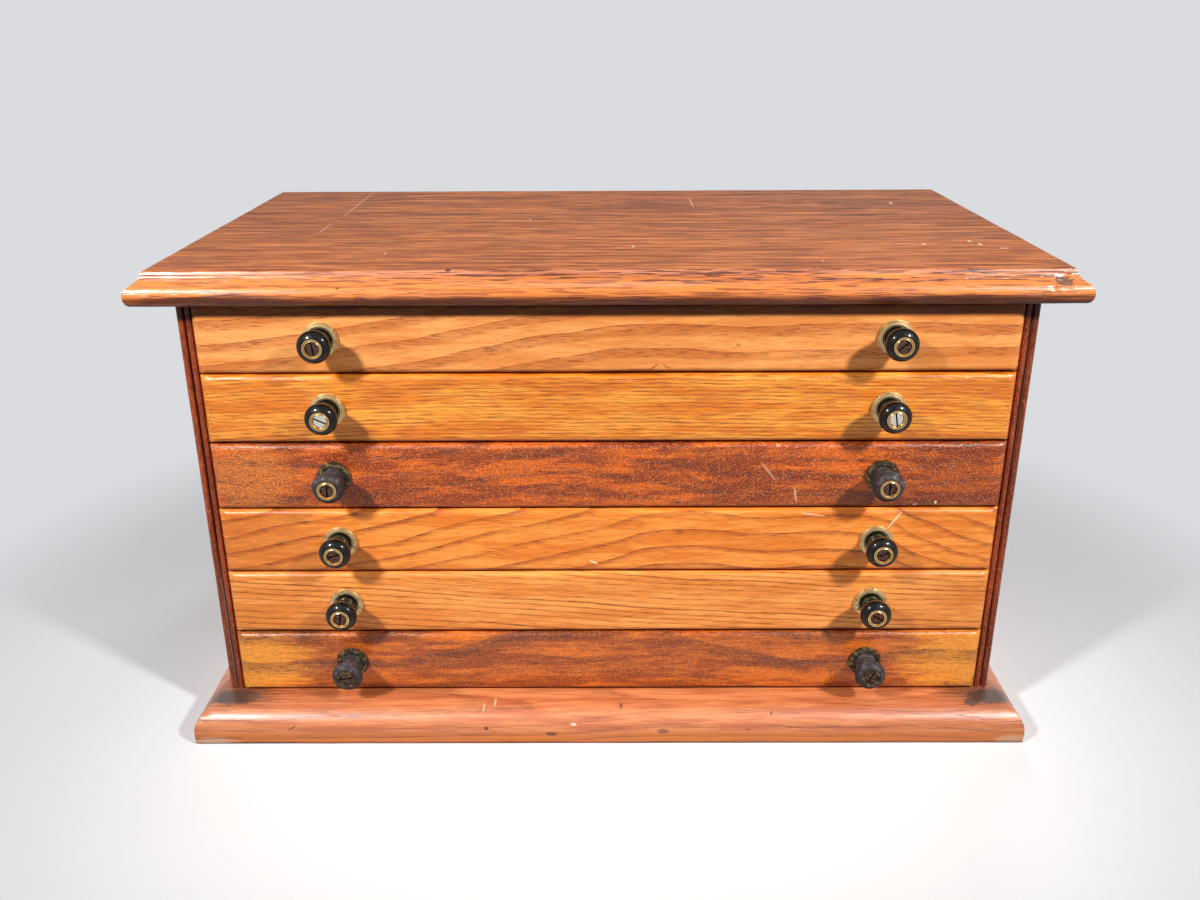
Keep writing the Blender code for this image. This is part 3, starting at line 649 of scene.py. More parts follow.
def settle(piece, body, slot, material, *stands_for):
    """Gives a finished piece its material and its body; `slot` is not used."""
    piece.data.materials.clear()
    piece.data.materials.append(material)
    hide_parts(*stands_for)
    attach(piece, body)


def face_centre(node):
    """The middle of a node's front face."""
    low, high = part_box(node)
    return Vector(((low.x + high.x) / 2, low.y, (low.z + high.z) / 2))


FACE = face_centre("drawer_1_front").y / MM
print("edges wear by up to", WEAR_MM, "mm; the drawer faces lie at y =", round(FACE, 2), "mm")

# %% [markdown]
# ## The six drawer fronts
# Each front was cut from a different plank, and six finishes tell them apart. One pattern
# could serve them all if only its seed changed, but the eye knows planks by their ring
# width and slope, so each has a table of its own. `path_shares` traces how the grain
# climbs from the left end to the right, as shares of `path_mm`.

# %% Finishes of the drawer fronts
FRONT_FINISHES = [
    # Slab-cut, its shellac worn thin: pale and satin, with broad reddish streaks.
    {"light": "F4A45C", "deep": "E28A44", "band": "9E3E18", "pore": "8A4826",
     "ring_mm": 15, "heart_mm": (34, -160), "path_mm": 44,
     "path_shares": [0.0, 0.14, 0.36, 0.60, 0.84, 1.0, 0.94, 0.99, 0.96, 0.98],
     "waver_mm": 9, "waver_wide_mm": 30, "band_strength": 0.8, "weakest": 0.6,
     "band_shares": [(0.0, 0.0), (0.50, 0.0), (0.60, 0.45), (0.93, 0.65), (0.98, 1.0), (1.0, 0.0)],
     "pore_mm": (9, 0.7), "loose": 0.28, "rough": 0.40, "seed": 11.0,
     "marks": [((85, FACE, 290), (2.0, 3, 1.0), 20, "7A5030", 0.5),
               ((30.4, FACE, 275.3), (4.5, 3, 0.5), -35, "70401F", 0.7),
               ((38.9, FACE, 275.2), (4.0, 3, 0.5), 40, "70401F", 0.6)],
     # The stain along the top is a painted shadow: the dark band that the top board's overhang
     # casts on this face.
     "stains_and_shade": [((0, FACE, 319.5), (420, 4, 6.4), 0, "200C04", 0.8)]},
    # Cut across its rings and polished: fine straight pores, the glossiest front.
    {"light": "FAA238", "deep": "E27A14", "band": "984510", "pore": "8A400E",
     "ring_mm": 2.7, "heart_mm": (30, -220), "path_mm": 7,
     "path_shares": [0.0, 0.6, 0.95, 1.0, 0.9, 0.8, 0.7, 0.5],
     "waver_mm": 4, "jitter_mm": 0.35, "band_strength": 0.75, "weakest": 0.4,
     "pore_mm": (14, 0.6), "pore_cut": (0.49, 0.57), "loose": 0.5,
     "rough": 0.30, "coat": 1.0, "coat_rough": 0.24, "seed": 23.0},
    # Thick old shellac on a dark plank: crackled, so its shine breaks into grains.
    {"light": "EE7020", "deep": "9A3C12", "band": "521E0A", "pore": "4A1A0C",
     "ring_mm": 12, "heart_mm": (30, -80), "path_mm": 22,
     "path_shares": [0.2, 0.1, 0.3, 0.7, 1.0, 0.8, 0.4, 0.3, 0.6, 0.8],
     "waver_mm": 12, "band_strength": 0.5, "pore_strength": 0.7, "tone_mm": (48, 9),
     "crackle": 0.45, "speckle": 0.45, "bump": 0.8, "rough": 0.30, "coat": 0.8, "seed": 37.0,
     "stains_and_shade": [((-246, FACE, 196), (34, 20, 30), 0, "E8863A", 0.75),
                ((150, FACE, 180), (70, 20, 9), 0, "6A2810", 0.6),
                ((-60, FACE, 214), (60, 20, 6), 0, "7A2E14", 0.5),
                ((238, FACE, 196), (40, 20, 30), 0, "7C2A0A", 0.5)],
     "marks": [((109.5, FACE, 200.7), (8.5, 3, 1.0), 52, "D9A384", 0.5),
               ((128.6, FACE, 183.3), (6.2, 3, 0.9), 80, "E0AE8E", 0.6),
               ((211.2, FACE, 175.9), (1.7, 3, 0.9), -15, "F3CFA8", 1.0),
               ((225.2, FACE, 177.4), (0.9, 3, 1.4), 0, "F3CFA8", 1.0),
               ((203.8, FACE, 175.2), (1.0, 3, 0.7), 0, "F3CFA8", 0.9),
               ((114.9, FACE + 2, 219.4), (1.6, 4, 0.9), 0, "F28A3C", 1.0)]},
    # Slab-cut and satin: bold dark lines that slope across the whole front.
    {"light": "F4953F", "deep": "DE7826", "band": "96400F", "pore": "7A3410",
     "ring_mm": 12.5, "heart_mm": (34, -200), "path_mm": 70,
     "path_shares": [0.0, 0.15, 0.31, 0.50, 0.68, 0.86, 1.0, 0.95, 0.97, 0.72, 0.45],
     "waver_mm": 13, "waver_wide_mm": 34, "band_strength": 0.9, "weakest": 0.6,
     "band_shares": [(0.0, 0.0), (0.66, 0.0), (0.80, 0.4), (0.94, 0.8), (0.985, 1.0), (1.0, 0.1)],
     "tone_mm": (60, 6), "pore_mm": (9, 0.7), "loose": 0.34, "rough": 0.34, "coat": 0.7,
     "seed": 41.0,
     "marks": [((-10.2, FACE, 132.1), (3.0, 3, 0.8), 25, "F7D9A8", 1.0),
               ((198.4, FACE, 164.1), (7.5, 3, 0.7), 125, "F8D2A6", 0.9),
               ((142.0, FACE + 2, 168.4), (12, 4, 0.5), 8, "FBE3C6", 0.6)],
     "stains_and_shade": [((-240, FACE, 148), (56, 20, 30), 0, "BE662A", 0.5)]},
    # Cut nearly across its rings, satin: dark straight lines that fall to the right.
    {"light": "F49C4C", "deep": "E08234", "band": "8A3E12", "pore": "6E2E0C",
     "ring_mm": 3.7, "heart_mm": (-70, -130), "path_mm": 34,
     "path_shares": [1.0, 0.86, 0.72, 0.58, 0.44, 0.30, 0.16, 0.06, 0.0],
     "waver_mm": 8, "jitter_mm": 0.5, "band_strength": 0.95, "weakest": 0.15,
     "band_shares": [(0.0, 1.0), (0.10, 0.9), (0.24, 0.25), (0.4, 0.0), (0.92, 0.0), (1.0, 0.9)],
     "pore_mm": (12, 0.7), "loose": 0.34, "rough": 0.36, "coat": 0.7, "seed": 53.0},
    # Thick shellac, crackled in the middle and rubbed through to amber at both ends.
    {"light": "E2721E", "deep": "9A420E", "band": "4E1C0A", "pore": "44190A",
     "ring_mm": 25, "heart_mm": (40, -140), "path_mm": 26,
     "path_shares": [0.0, 0.0, 0.1, 0.5, 0.9, 1.0, 0.75, 0.25, 0.0, 0.3, 0.3],
     "band_strength": 0.72, "pore_strength": 0.7,
     "band_shares": [(0.0, 0.0), (0.50, 0.0), (0.70, 0.6), (0.9, 0.9), (0.985, 1.0), (1.0, 0.0)],
     "tone_mm": (60, 7), "crackle": 0.35, "speckle": 0.30, "bump": 0.75,
     "rough": 0.30, "coat": 0.9, "seed": 67.0,
     "stains_and_shade": [((-262, FACE, 50), (52, 20, 38), 0, "F49A30", 0.97),
                ((262, FACE, 50), (62, 20, 38), 0, "F29830", 0.97)]},
]
print("rings of the fronts, in mm:", [finish["ring_mm"] for finish in FRONT_FINISHES])

# %% [markdown]
# ## Six worn faces
# Hands touch only the front of a drawer, so only the first six millimetres behind its
# face wear. The rest of the board keeps its joints as sharp as the solid has them.

# %% Drawer fronts
WORN_DEPTH_MM = 6


def drawer_fronts():
    for number, finish in enumerate(FRONT_FINISHES, 1):
        node = f"drawer_{number}_front"
        piece = worn_copy(f"drawer_{number}_face", node, {"X": 12, "Z": 9},
                          back=(FACE + WORN_DEPTH_MM) * MM, seed=number * 3.0)
        material = varnished_oak(f"varnished_oak_front_{number}", face_centre(node), **finish)
        settle(piece, f"drawer_{number}", f"oak_front_{number}", material, node)
    print("six fronts,", len(piece.data.polygons), "faces each")


drawer_fronts()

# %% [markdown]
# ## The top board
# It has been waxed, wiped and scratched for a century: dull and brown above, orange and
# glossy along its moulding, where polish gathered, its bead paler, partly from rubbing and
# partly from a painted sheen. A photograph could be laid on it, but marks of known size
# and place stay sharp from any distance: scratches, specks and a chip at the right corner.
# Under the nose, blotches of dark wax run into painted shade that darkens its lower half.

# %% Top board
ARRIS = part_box("top_board")[1].z / MM
BOARD_CUTS_MM = {"X": 9, "Y": 20}
top = worn_copy("top_board_worn", "top_board", BOARD_CUTS_MM,
                chips=[((287.0, -157.5, 333.3), 6.5, 1.6), ((-101.3, -151.5, 340.8), 3.0, 1.2),
                       ((-156, -161, 324.0), 5.0, 0.9), ((280, -161, 330.0), 2.5, 0.8)],
                seed=5.0)
# Oak, waxed and wiped: the flat is dull and drinks light, and its rubbed rim shines.
TOP_FINISH = {
    "light": "E0823C", "deep": "984A1E", "band": "5A2610", "pore": "4A1E0E",
    "ring_mm": 9, "heart_mm": (260, -120), "half_mm": 300, "path_mm": 10,
    "path_shares": [0.3, 0.5, 1, 0.6], "band_strength": 0.6, "tone_mm": (60, 3),
    "pore_mm": (20, 0.8), "pore_cut": (0.50, 0.58), "pore_strength": 0.85, "loose": 0.6,
    "rough": 0.50, "coat": 0.06, "coat_rough": 0.24, "coat_ior": 1.6, "seed": 71.0,
    # Zones: the bead paler, partly from rubbing and partly a painted sheen; the cove orange and
    # glossy; the nose's lower half darker with painted shade.
    "zones": [(ARRIS - 0.4, 0.6, "F2966A", 0.32, 1.0), (ARRIS - 3.4, 0.8, "EE8430", 0.30, 1.0),
              (ARRIS - 15.0, 2.2, "8C4820", 0.42, 0.3)],
    # Under the nose: blotches of dark wax, deepened into painted shade along its whole length.
    "stains_and_shade": [((-235, -163, 323.5), (70, 6, 5.2), 0, "4E2212", 0.9),
               ((-120, -163, 322), (90, 6, 4.2), 0, "54260F", 0.85),
               ((60, -163, 321.5), (170, 6, 4.0), 0, "5A2810", 0.8),
               ((225, -163, 322.5), (80, 6, 4.8), 0, "4E2212", 0.85)],
    "marks": [((287.0, -158, 333.3), (5.8, 7, 2.6), 8, "5E3E2C", 0.85),
              ((-211, 112, ARRIS), (0.8, 70, 3), 0, "E2B496", 0.6),
              ((240, 103, ARRIS), (1.3, 5, 3), 0, "F0D2BC", 0.9),
              ((255, -65, ARRIS), (1.6, 3, 3), 0, "F0D2BC", 0.9),
              ((259, -76, ARRIS), (1.4, 4, 3), 0, "F0D2BC", 0.9),
              ((220, -75, ARRIS), (1.2, 2.5, 3), 0, "F0D2BC", 0.9),
              ((271, -90, ARRIS), (4, 1.2, 3), 0, "F0D2BC", 0.9),
              ((-213, -6, ARRIS), (0.7, 22, 3), 0, "E2B8A0", 0.5),
              ((-150, -100, ARRIS), (1.0, 2.5, 3), 0, "E9C9B4", 0.7),
              ((-60, 30, ARRIS), (1.0, 3, 3), 0, "E9C9B4", 0.7),
              ((72, 111, ARRIS), (0.7, 26, 3), 0, "E6BE9E", 0.7),
              ((18, -79, ARRIS), (1.1, 4, 3), 0, "E9C9B4", 0.6),
              ((140, -130, ARRIS), (0.9, 2, 3), 0, "E9C9B4", 0.7),
              ((-170, -158, 331), (2.6, 4, 0.8), 0, "3E1C0E", 0.8),
              ((-101, -152, 340.6), (2.2, 3, 1.0), 0, "2A1008", 0.9)]}
settle(top, "case", "oak_top", varnished_oak("waxed_oak_top", face_centre("top_board"),
                                             **TOP_FINISH), "top_board")
print(top.name, len(top.data.polygons), "faces")

# %% [markdown]
# ## The base board
# Shoes, brooms and table tops have rubbed it, so its colour is paler and its varnish
# hazy. Dirt has gathered where the sides stand on it, its lowest two millimetres are
# darker, and knocks have left dark dents and pale scratches. The tools of the top board
# give all of it: zones for the moulding, marks and stains for the rest.

# %% Base board
base = worn_copy("base_board_worn", "base_board", BOARD_CUTS_MM, seed=8.0)
# Oak, its shellac rubbed and waxed over: pale and pinkish, with a soft, hazy shine.
BASE_FINISH = {
    "light": "DC8854", "deep": "C06A3E", "band": "8A4019", "pore": "6E3218",
    "ring_mm": 6, "heart_mm": (40, -90), "half_mm": 300, "path_mm": 14,
    "path_shares": [0.3, 0.5, 1, 0.6], "band_strength": 0.5, "tone_mm": (60, 5),
    "pore_mm": (22, 0.8), "pore_cut": (0.52, 0.60), "pore_strength": 0.6, "loose": 0.25,
    "rough": 0.40, "coat": 1.0, "coat_rough": 0.34, "coat_ior": 1.65, "seed": 83.0,
    # Zones: the lower front edge more orange, and the lowest 2 mm darker.
    "zones": [(9.5, 4.0, "DC7C38", 0.42, 0.5), (2.0, 2.0, "9C4C20", 0.45, 0.2)],
    "marks": [((-88, -178, 13.3), (1.5, 4, 1.4), 0, "3E1E12", 0.95),
              ((-41, -178, 8.7), (4.6, 4, 1.5), 0, "5A3020", 0.9),
              ((-82, -164, 26.5), (0.7, 5, 4), 20, "F2C4A2", 0.7),
              ((-90, -169, 25.1), (0.7, 5, 3.4), 15, "F2C4A2", 0.6),
              ((-25, -177, 16.0), (2.6, 4, 1), 0, "EEDCDC", 0.7),
              ((9, -169, 25.6), (1.5, 5, 1.6), 0, "6A3422", 0.8),
              ((-228, -178, 13.6), (4, 4, 0.7), -30, "5A3020", 0.8),
              ((39, -178, 10.7), (4.8, 4, 2.2), 0, "7A4634", 0.8),
              ((117, -173, 22.2), (1.1, 4, 1.3), 0, "5A2C1A", 0.85),
              ((100, -178, 12.0), (2, 4, 0.9), 0, "5A2C1A", 0.7),
              ((263, -164, 26.5), (6, 5, 4), 0, "4A3A38", 0.85),
              ((-273, -157, 26), (20, 10, 5), 0, "3A302C", 0.8),
              ((278, -157, 26), (18, 10, 5), 0, "3A302C", 0.8),
              ((-250, -178, 1.2), (30, 6, 1.0), 0, "4A2A1C", 0.8)],
    "stains_and_shade": [((-272, -154, 26), (46, 17, 8), 0, "5E3C2E", 0.75),
               ((280, -154, 26), (42, 17, 8), 0, "5E3C2E", 0.75),
               ((-284, -177, 3), (20, 6, 4), 0, "E2BFA0", 0.6),
               ((290, -177, 4), (14, 6, 4), 0, "E2BFA0", 0.55)]}
settle(base, "case", "oak_base", varnished_oak("worn_oak_base", face_centre("base_board"),
                                               **BASE_FINISH), "base_board")
print(base.name, len(base.data.polygons), "faces")

# %% [markdown]
# ## The side panels
# Their grain stands upright, so the table of their axes is turned: Z runs along it. Dust
# lies in the groove between the two reeds of each front edge, high up on the right and
# lower down on the left. A strip of another material would end in a hard line; one long,
# thin mark fades out.

# %% Side panels
REED_GROOVE_X = 275.3
# Where each groove lies, how high the middle of its dust is, and how strongly it shows.
SIDES = {"left": (-REED_GROOVE_X, 70, 0.75), "right": (REED_GROOVE_X, 250, 0.25)}
# Oak under thick crackled shellac that never faces the light: dark red, barely shiny.
SIDE_FINISH = {
    "light": "B04C2A", "deep": "82321A", "band": "4C1F12", "pore": "3A140A",
    "ring_mm": 6, "grain": ("Z", "X", "Y"), "half_mm": 150, "crackle": 0.5, "crackle_mm": 1.3,
    "speckle": 0.3, "rough": 0.32, "coat": 0.4, "seed": 91.0}

for side, (groove, middle, strength) in SIDES.items():
    node = "side_panel_" + side
    panel = worn_copy(node + "_worn", node, {"Z": 8}, seed=9.0)
    dust = ((groove, FACE + 4, middle), (0.9, 6, 84), 0, "A89C96", strength)
    finish = varnished_oak("crackled_oak_side_" + side, face_centre(node), marks=[dust],
                           **SIDE_FINISH)
    settle(panel, "case", "oak_case", finish, node)
    print(panel.name, len(panel.data.polygons), "faces")

# %% [markdown]
# ## Turned knobs and their brass
# A knob, its rose and its ferrule are turned on a lathe. They could be stacks of cylinders,
# but a turned shape flows from ring to ring, so each starts as half an outline, given as
# pairs of height above the drawer's face and radius, in millimetres.
# The Screw modifier sweeps it once round the knob's axis. The ball is round behind its
# widest circle and flattened before it, where the ferrule is let in; a thin ring marks
# the place where it meets the neck. Only the screw is built from two half discs, because
# its slot would be lost in a sweep.

# %% Turned masters
TURN_STEPS = 72
HALF_STEPS = 18
TURNED_SHARP_DEGREES = 40
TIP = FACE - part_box("drawer_1_knob_left")[0].y / MM
BALL_RADIUS = 10.8
BALL_HEIGHT = TIP - 4.4


def ball(centre, depth, first, last, count):
    """Points of an arc of the ball, from one angle off the axis to another."""
    angles = [math.radians(first + (last - first) * step / count) for step in range(count + 1)]
    return [(centre + depth * math.cos(angle), BALL_RADIUS * math.sin(angle)) for angle in angles]


OUTLINES = {
    "knob": [(TIP - 2.7, 0.0), (TIP - 2.7, 6.9), (TIP - 0.4, 6.9), (TIP - 0.1, 7.0)]
    + ball(BALL_HEIGHT, 5.9, 42, 90, 12)[0:-1] + ball(BALL_HEIGHT, BALL_RADIUS, 90, 131, 12)
    + [(BALL_HEIGHT - 7.5, 7.9), (BALL_HEIGHT - 7.7, 7.9), (BALL_HEIGHT - 7.9, 8.25),
       (BALL_HEIGHT - 8.4, 8.45), (BALL_HEIGHT - 8.9, 8.3), (BALL_HEIGHT - 9.1, 7.7),
       (BALL_HEIGHT - 9.6, 7.5), (BALL_HEIGHT - 11.5, 7.4), (4.6, 7.4), (3.4, 7.6), (2.45, 7.8),
       (2.45, 0.0)],
    "rose": [(2.3, 0.0), (2.3, 8.2), (2.9, 8.35), (3.2, 8.7), (3.3, 9.2), (3.15, 9.65),
             (2.6, 9.85), (2.55, 10.05), (2.8, 10.25), (2.7, 10.7), (2.1, 11.0), (1.4, 11.1),
             (1.2, 11.15), (1.25, 11.4), (1.15, 11.6), (0.85, 11.7), (0.25, 11.7), (0.25, 0.0)],
    "ferrule": [(TIP - 2.5, 0.0), (TIP - 2.5, 6.55), (TIP, 6.6), (TIP + 0.3, 6.5),
                (TIP + 0.4, 6.2), (TIP + 0.3, 5.85), (TIP - 0.1, 5.6), (TIP - 0.5, 5.5),
                (TIP - 0.5, 5.3), (TIP + 0.05, 5.2), (TIP + 0.2, 5.0), (TIP + 0.15, 4.75),
                (TIP - 0.3, 4.6), (TIP - 1.5, 4.5), (TIP - 2.2, 4.45), (TIP - 2.2, 0.0)],
}


def turned_master(name, outline):
    """Half an outline swept round the axis that stands straight out of the drawer."""
    mesh = bpy.data.meshes.new(name)
    points = [(radius * MM, -height * MM, 0) for height, radius in outline]
    mesh.from_pydata(points, [(index, index + 1) for index in range(len(points) - 1)], [])
    master = bpy.data.objects.new(name, mesh)
    bpy.context.scene.collection.objects.link(master)
    sweep = master.modifiers.new("turning", 'SCREW')
    sweep.axis = 'Y'
    sweep.steps = sweep.render_steps = TURN_STEPS
    sweep.use_merge_vertices = True
    sweep.merge_threshold = MERGE_MM * MM
    sweep.use_normal_calculate = True
    return plain_mesh(master)


def plain_mesh(piece):
    """Turns what the modifiers made into the object's own mesh, shaded by its angles."""
    bpy.context.view_layer.update()
    graph = bpy.context.evaluated_depsgraph_get()
    mesh = bpy.data.meshes.new_from_object(piece.evaluated_get(graph))
    piece.modifiers.clear()
    piece.data = mesh
    bm = bmesh.new()
    bm.from_mesh(mesh)
    bmesh.ops.remove_doubles(bm, verts=bm.verts, dist=MERGE_MM * MM / 10)
    bmesh.ops.recalc_face_normals(bm, faces=bm.faces)
    bm.to_mesh(mesh)
    bm.free()
    mesh.shade_smooth()
    mesh.set_sharp_from_angle(angle=math.radians(TURNED_SHARP_DEGREES))
    return piece


def screw_master():
    """A slotted head: two halves that stand on a disc, with the slot between them."""
    bm = bmesh.new()
    slot_shade = bm.verts.layers.float.new("slot_shade")
    radius, slot, floor, rim = 4.35, 0.55, TIP - 2.1, TIP - 0.9
    feet = []
    for sign in (-1, 1):
        edge = math.asin(slot / radius)
        ring = [edge + (math.pi - 2 * edge) * step / HALF_STEPS for step in range(HALF_STEPS + 1)]
        low, top = [[bm.verts.new((out * math.cos(a), -height, sign * out * math.sin(a)))
                     for a in ring] for out, height in ((radius, floor), (radius - 0.15, rim))]
        middle = bm.verts.new((0, -rim - 0.25, sign * radius * 0.42))  # slightly domed
        feet += low
        for here in range(len(ring)):
            after = (here + 1) % len(ring)
            bm.faces.new((low[here], low[after], top[after], top[here]))
            bm.faces.new((top[here], top[after], middle))
        bm.faces.new(low)
    disc = bmesh.ops.create_circle(bm, cap_ends=True, segments=40, radius=radius,
                                   matrix=Matrix.Translation((0, -floor - 0.05, 0))
                                   @ Matrix.Rotation(math.pi / 2, 4, 'X'))
    # The slot's floor and the disc below it are marked for painted shade: the shade that falls into
    # the slot.
    for vert in feet + disc["verts"]:
        vert[slot_shade] = 1.0
    bmesh.ops.scale(bm, vec=(MM, MM, MM), verts=bm.verts)
    mesh = bpy.data.meshes.new("screw")
    bm.to_mesh(mesh)
    bm.free()
    master = bpy.data.objects.new("screw", mesh)
    bpy.context.scene.collection.objects.link(master)
    return plain_mesh(master)


masters = {name: turned_master(name, outline) for name, outline in OUTLINES.items()}
masters["screw"] = screw_master()
print({name: len(master.data.polygons) for name, master in masters.items()})

# %% [markdown]
# ## A node tree that sets the fittings in pairs
# Every drawer has two of each fitting, at the same spacing but at its own height and
# each at its own turn. A mirror could make the second one, but it would mirror the turn
# of the screw as well. So a Geometry Nodes tree places them: two points on a line, one
# master on each point, turned by an angle that depends on the point's number. Its
# inputs are what differs between drawers, so one tree serves all twenty-four pairs.

# %% Fitting pairs
PAIR_INPUTS = {"Master": 'NodeSocketObject', "Half spacing": 'NodeSocketFloat',
               "Middle": 'NodeSocketVector', "Left turn": 'NodeSocketFloat',
               "Right turn": 'NodeSocketFloat', "Finish": 'NodeSocketMaterial'}


def pair_tree():
    tree = bpy.data.node_groups.new("fitting_pair", 'GeometryNodeTree')
    tree.interface.new_socket(name="Geometry", in_out='INPUT', socket_type='NodeSocketGeometry')
    sockets = {}
    for name, kind in PAIR_INPUTS.items():
        socket = tree.interface.new_socket(name=name, in_out='INPUT', socket_type=kind)
        sockets[name] = socket.identifier
    tree.interface.new_socket(name="Geometry", in_out='OUTPUT', socket_type='NodeSocketGeometry')
    given = add(tree, 'NodeGroupInput').outputs
    half = add(tree, 'ShaderNodeCombineXYZ', {"X": given["Half spacing"]})
    start = add(tree, 'ShaderNodeVectorMath', {0: given["Middle"], 1: half}, operation='SUBTRACT')
    apart = add(tree, 'ShaderNodeVectorMath', {0: half, 1: half}, operation='ADD')
    line = add(tree, 'GeometryNodeMeshLine', {"Count": 2, "Start Location": start,
                                              "Offset": apart}, mode='OFFSET')
    number = add(tree, 'GeometryNodeInputIndex')
    turn = add(tree, 'ShaderNodeMix', {"Factor": number, "A": given["Left turn"],
                                       "B": given["Right turn"]}, data_type='FLOAT')
    angles = add(tree, 'ShaderNodeCombineXYZ', {"Y": turn})
    rotation = add(tree, 'FunctionNodeEulerToRotation', {0: angles})
    master = add(tree, 'GeometryNodeObjectInfo', {"Object": given["Master"]})
    placed = add(tree, 'GeometryNodeInstanceOnPoints',
                 {"Points": line, "Instance": master.outputs["Geometry"], "Rotation": rotation})
    real = add(tree, 'GeometryNodeRealizeInstances', {0: placed})
    done = add(tree, 'GeometryNodeSetMaterial', {"Geometry": real, "Material": given["Finish"]})
    add(tree, 'NodeGroupOutput', {0: done})
    return tree, sockets


def fitting_pair(name, inputs, body, slot, *stands_for):
    """One pair of fittings as a piece of its own."""
    tree, sockets = PAIR
    piece = bpy.data.objects.new(name, bpy.data.meshes.new(name))
    bpy.context.scene.collection.objects.link(piece)
    placing = piece.modifiers.new("placing", 'NODES')
    placing.node_group = tree
    for key, value in inputs.items():
        placing[sockets[key]] = value
    plain_mesh(piece)
    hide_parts(*stands_for)
    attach(piece, body)
    return piece


PAIR = pair_tree()
print("inputs of the tree:", ", ".join(PAIR_INPUTS))

# %% [markdown]
# ## Ebonised wood, brass and steel
# Thumbs keep most of the knobs shiny; two drawers were hardly opened, and theirs are
# grey with dust and their brass is brown. Tarnish could be painted by hand, but a cloudy
# noise that mixes two tones is as uneven, and follows every turned edge. A finer noise
# scratches the surface. Real scratches lie a tenth of a millimetre apart and would not
# show, so they are drawn at two or three to the millimetre.

# %% Fitting materials
SCRATCHES_PER_MM = 2.6
SCRATCH_DEPTH_MM = 0.1
# Colour of the painted shade in the slot of a screw.
SLOT_SHADE_COLOUR = "0C0806"
POLISH_ROUGH, POLISH_IOR = 0.08, 1.4


def fitting_material(name, bright, dark, metallic, rough, cloud_mm, dirt, coat=0.0, bump=0.25):
    """A cloudy mix of two tones, `dirt` saying how much of the darker one shows."""
    material = bpy.data.materials.new(name)
    material.use_nodes = True
    tree = material.node_tree
    place = add(tree, 'ShaderNodeTexCoord').outputs["Object"]
    cloud = add(tree, 'ShaderNodeTexNoise', {"Vector": place, "Scale": 1 / (cloud_mm * MM),
                                             "Detail": 4.0, "Roughness": 0.6})
    share = add(tree, 'ShaderNodeMapRange', {"Value": cloud, "From Min": 0.72 - dirt * 0.5,
                                             "From Max": 0.92 - dirt * 0.5}, **SMOOTH)
    colour = add(tree, 'ShaderNodeMix', {"Factor": share, "A": linear(bright), "B": linear(dark)},
                 data_type='RGBA')
    # Painted shade, where a screw's slot is marked.
    slot_shade = add(tree, 'ShaderNodeAttribute', attribute_name="slot_shade").outputs["Fac"]
    colour = paint(tree, colour, slot_shade, SLOT_SHADE_COLOUR, 1.0)
    fine = add(tree, 'ShaderNodeTexNoise', {"Vector": place, "Scale": SCRATCHES_PER_MM / MM,
                                            "Detail": 3.0})
    dull = add(tree, 'ShaderNodeMapRange', {"Value": share, "To Min": rough,
                                            "To Max": rough + 0.25})
    relief = add(tree, 'ShaderNodeBump', {"Height": fine, "Distance": SCRATCH_DEPTH_MM * MM,
                                          "Strength": bump})
    shader = tree.nodes["Principled BSDF"]
    shader.inputs["Metallic"].default_value = metallic
    shader.inputs["Specular IOR Level"].default_value = 0.5 if metallic else 0.1
    shader.inputs["Coat Weight"].default_value = coat
    shader.inputs["Coat Roughness"].default_value = POLISH_ROUGH
    shader.inputs["Coat IOR"].default_value = POLISH_IOR
    for key, source in (("Base Color", colour), ("Roughness", dull), ("Normal", relief)):
        tree.links.new(next(s for s in source.outputs if s.enabled), shader.inputs[key])
    return material


FITTING_FINISHES = {
    # Hardwood, turned, stained black and polished: nearly black, with small sharp lights.
    "ebonised_wood_polished": {"bright": "060404", "dark": "17100E", "metallic": 0,
                               "rough": 0.38, "cloud_mm": 5, "dirt": 0.3, "coat": 0.6},
    # The same under years of dust: grey, with one broad, soft light.
    "ebonised_wood_dusty": {"bright": "393233", "dark": "5C5352", "metallic": 0,
                            "rough": 0.44, "cloud_mm": 4, "dirt": 0.5, "coat": 0.1, "bump": 0.6},
    # Sheet brass, stamped, kept clean by hands: pale yellow, with cloudy reflections.
    "brass_handled": {"bright": "D4BE8E", "dark": "6E5634", "metallic": 1,
                      "rough": 0.38, "cloud_mm": 3, "dirt": 0.4, "bump": 0.5},
    # Stamped brass left to tarnish: brown, with no more than a dim sheen.
    "brass_tarnished": {"bright": "94805A", "dark": "463A30", "metallic": 1,
                        "rough": 0.46, "cloud_mm": 3, "dirt": 0.75, "bump": 0.6},
    # A brass rim that thumbs rub all day: a thin ring of golden light.
    "brass_worn_bright": {"bright": "D8B47A", "dark": "7A5A30", "metallic": 1,
                          "rough": 0.24, "cloud_mm": 3, "dirt": 0.2},
    # Cut steel gone to rust: brown flecks and a broken glint.
    "steel_rusted": {"bright": "6A5048", "dark": "2A1B18", "metallic": 1,
                     "rough": 0.50, "cloud_mm": 1.2, "dirt": 0.6, "bump": 1.0},
    # Plated steel that stayed white: a clean, bright disc with a dark slot.
    "steel_plated": {"bright": "E6DFD0", "dark": "9A9080", "metallic": 1,
                     "rough": 0.32, "cloud_mm": 2, "dirt": 0.2},
}
FITTINGS = {name: fitting_material(name, **finish) for name, finish in FITTING_FINISHES.items()}
print(", ".join(FITTINGS))

# %% [markdown]
# ## Twelve knobs
# A real knob is held by a screw that runs through ferrule, knob and rose into the front.
# All four could be one piece, but then they would share one finish, so every drawer gets
# a pair of each. No two screws stand alike: whoever drove them stopped where they were
# tight. The second drawer has newer screws; the third and sixth were hardly used.

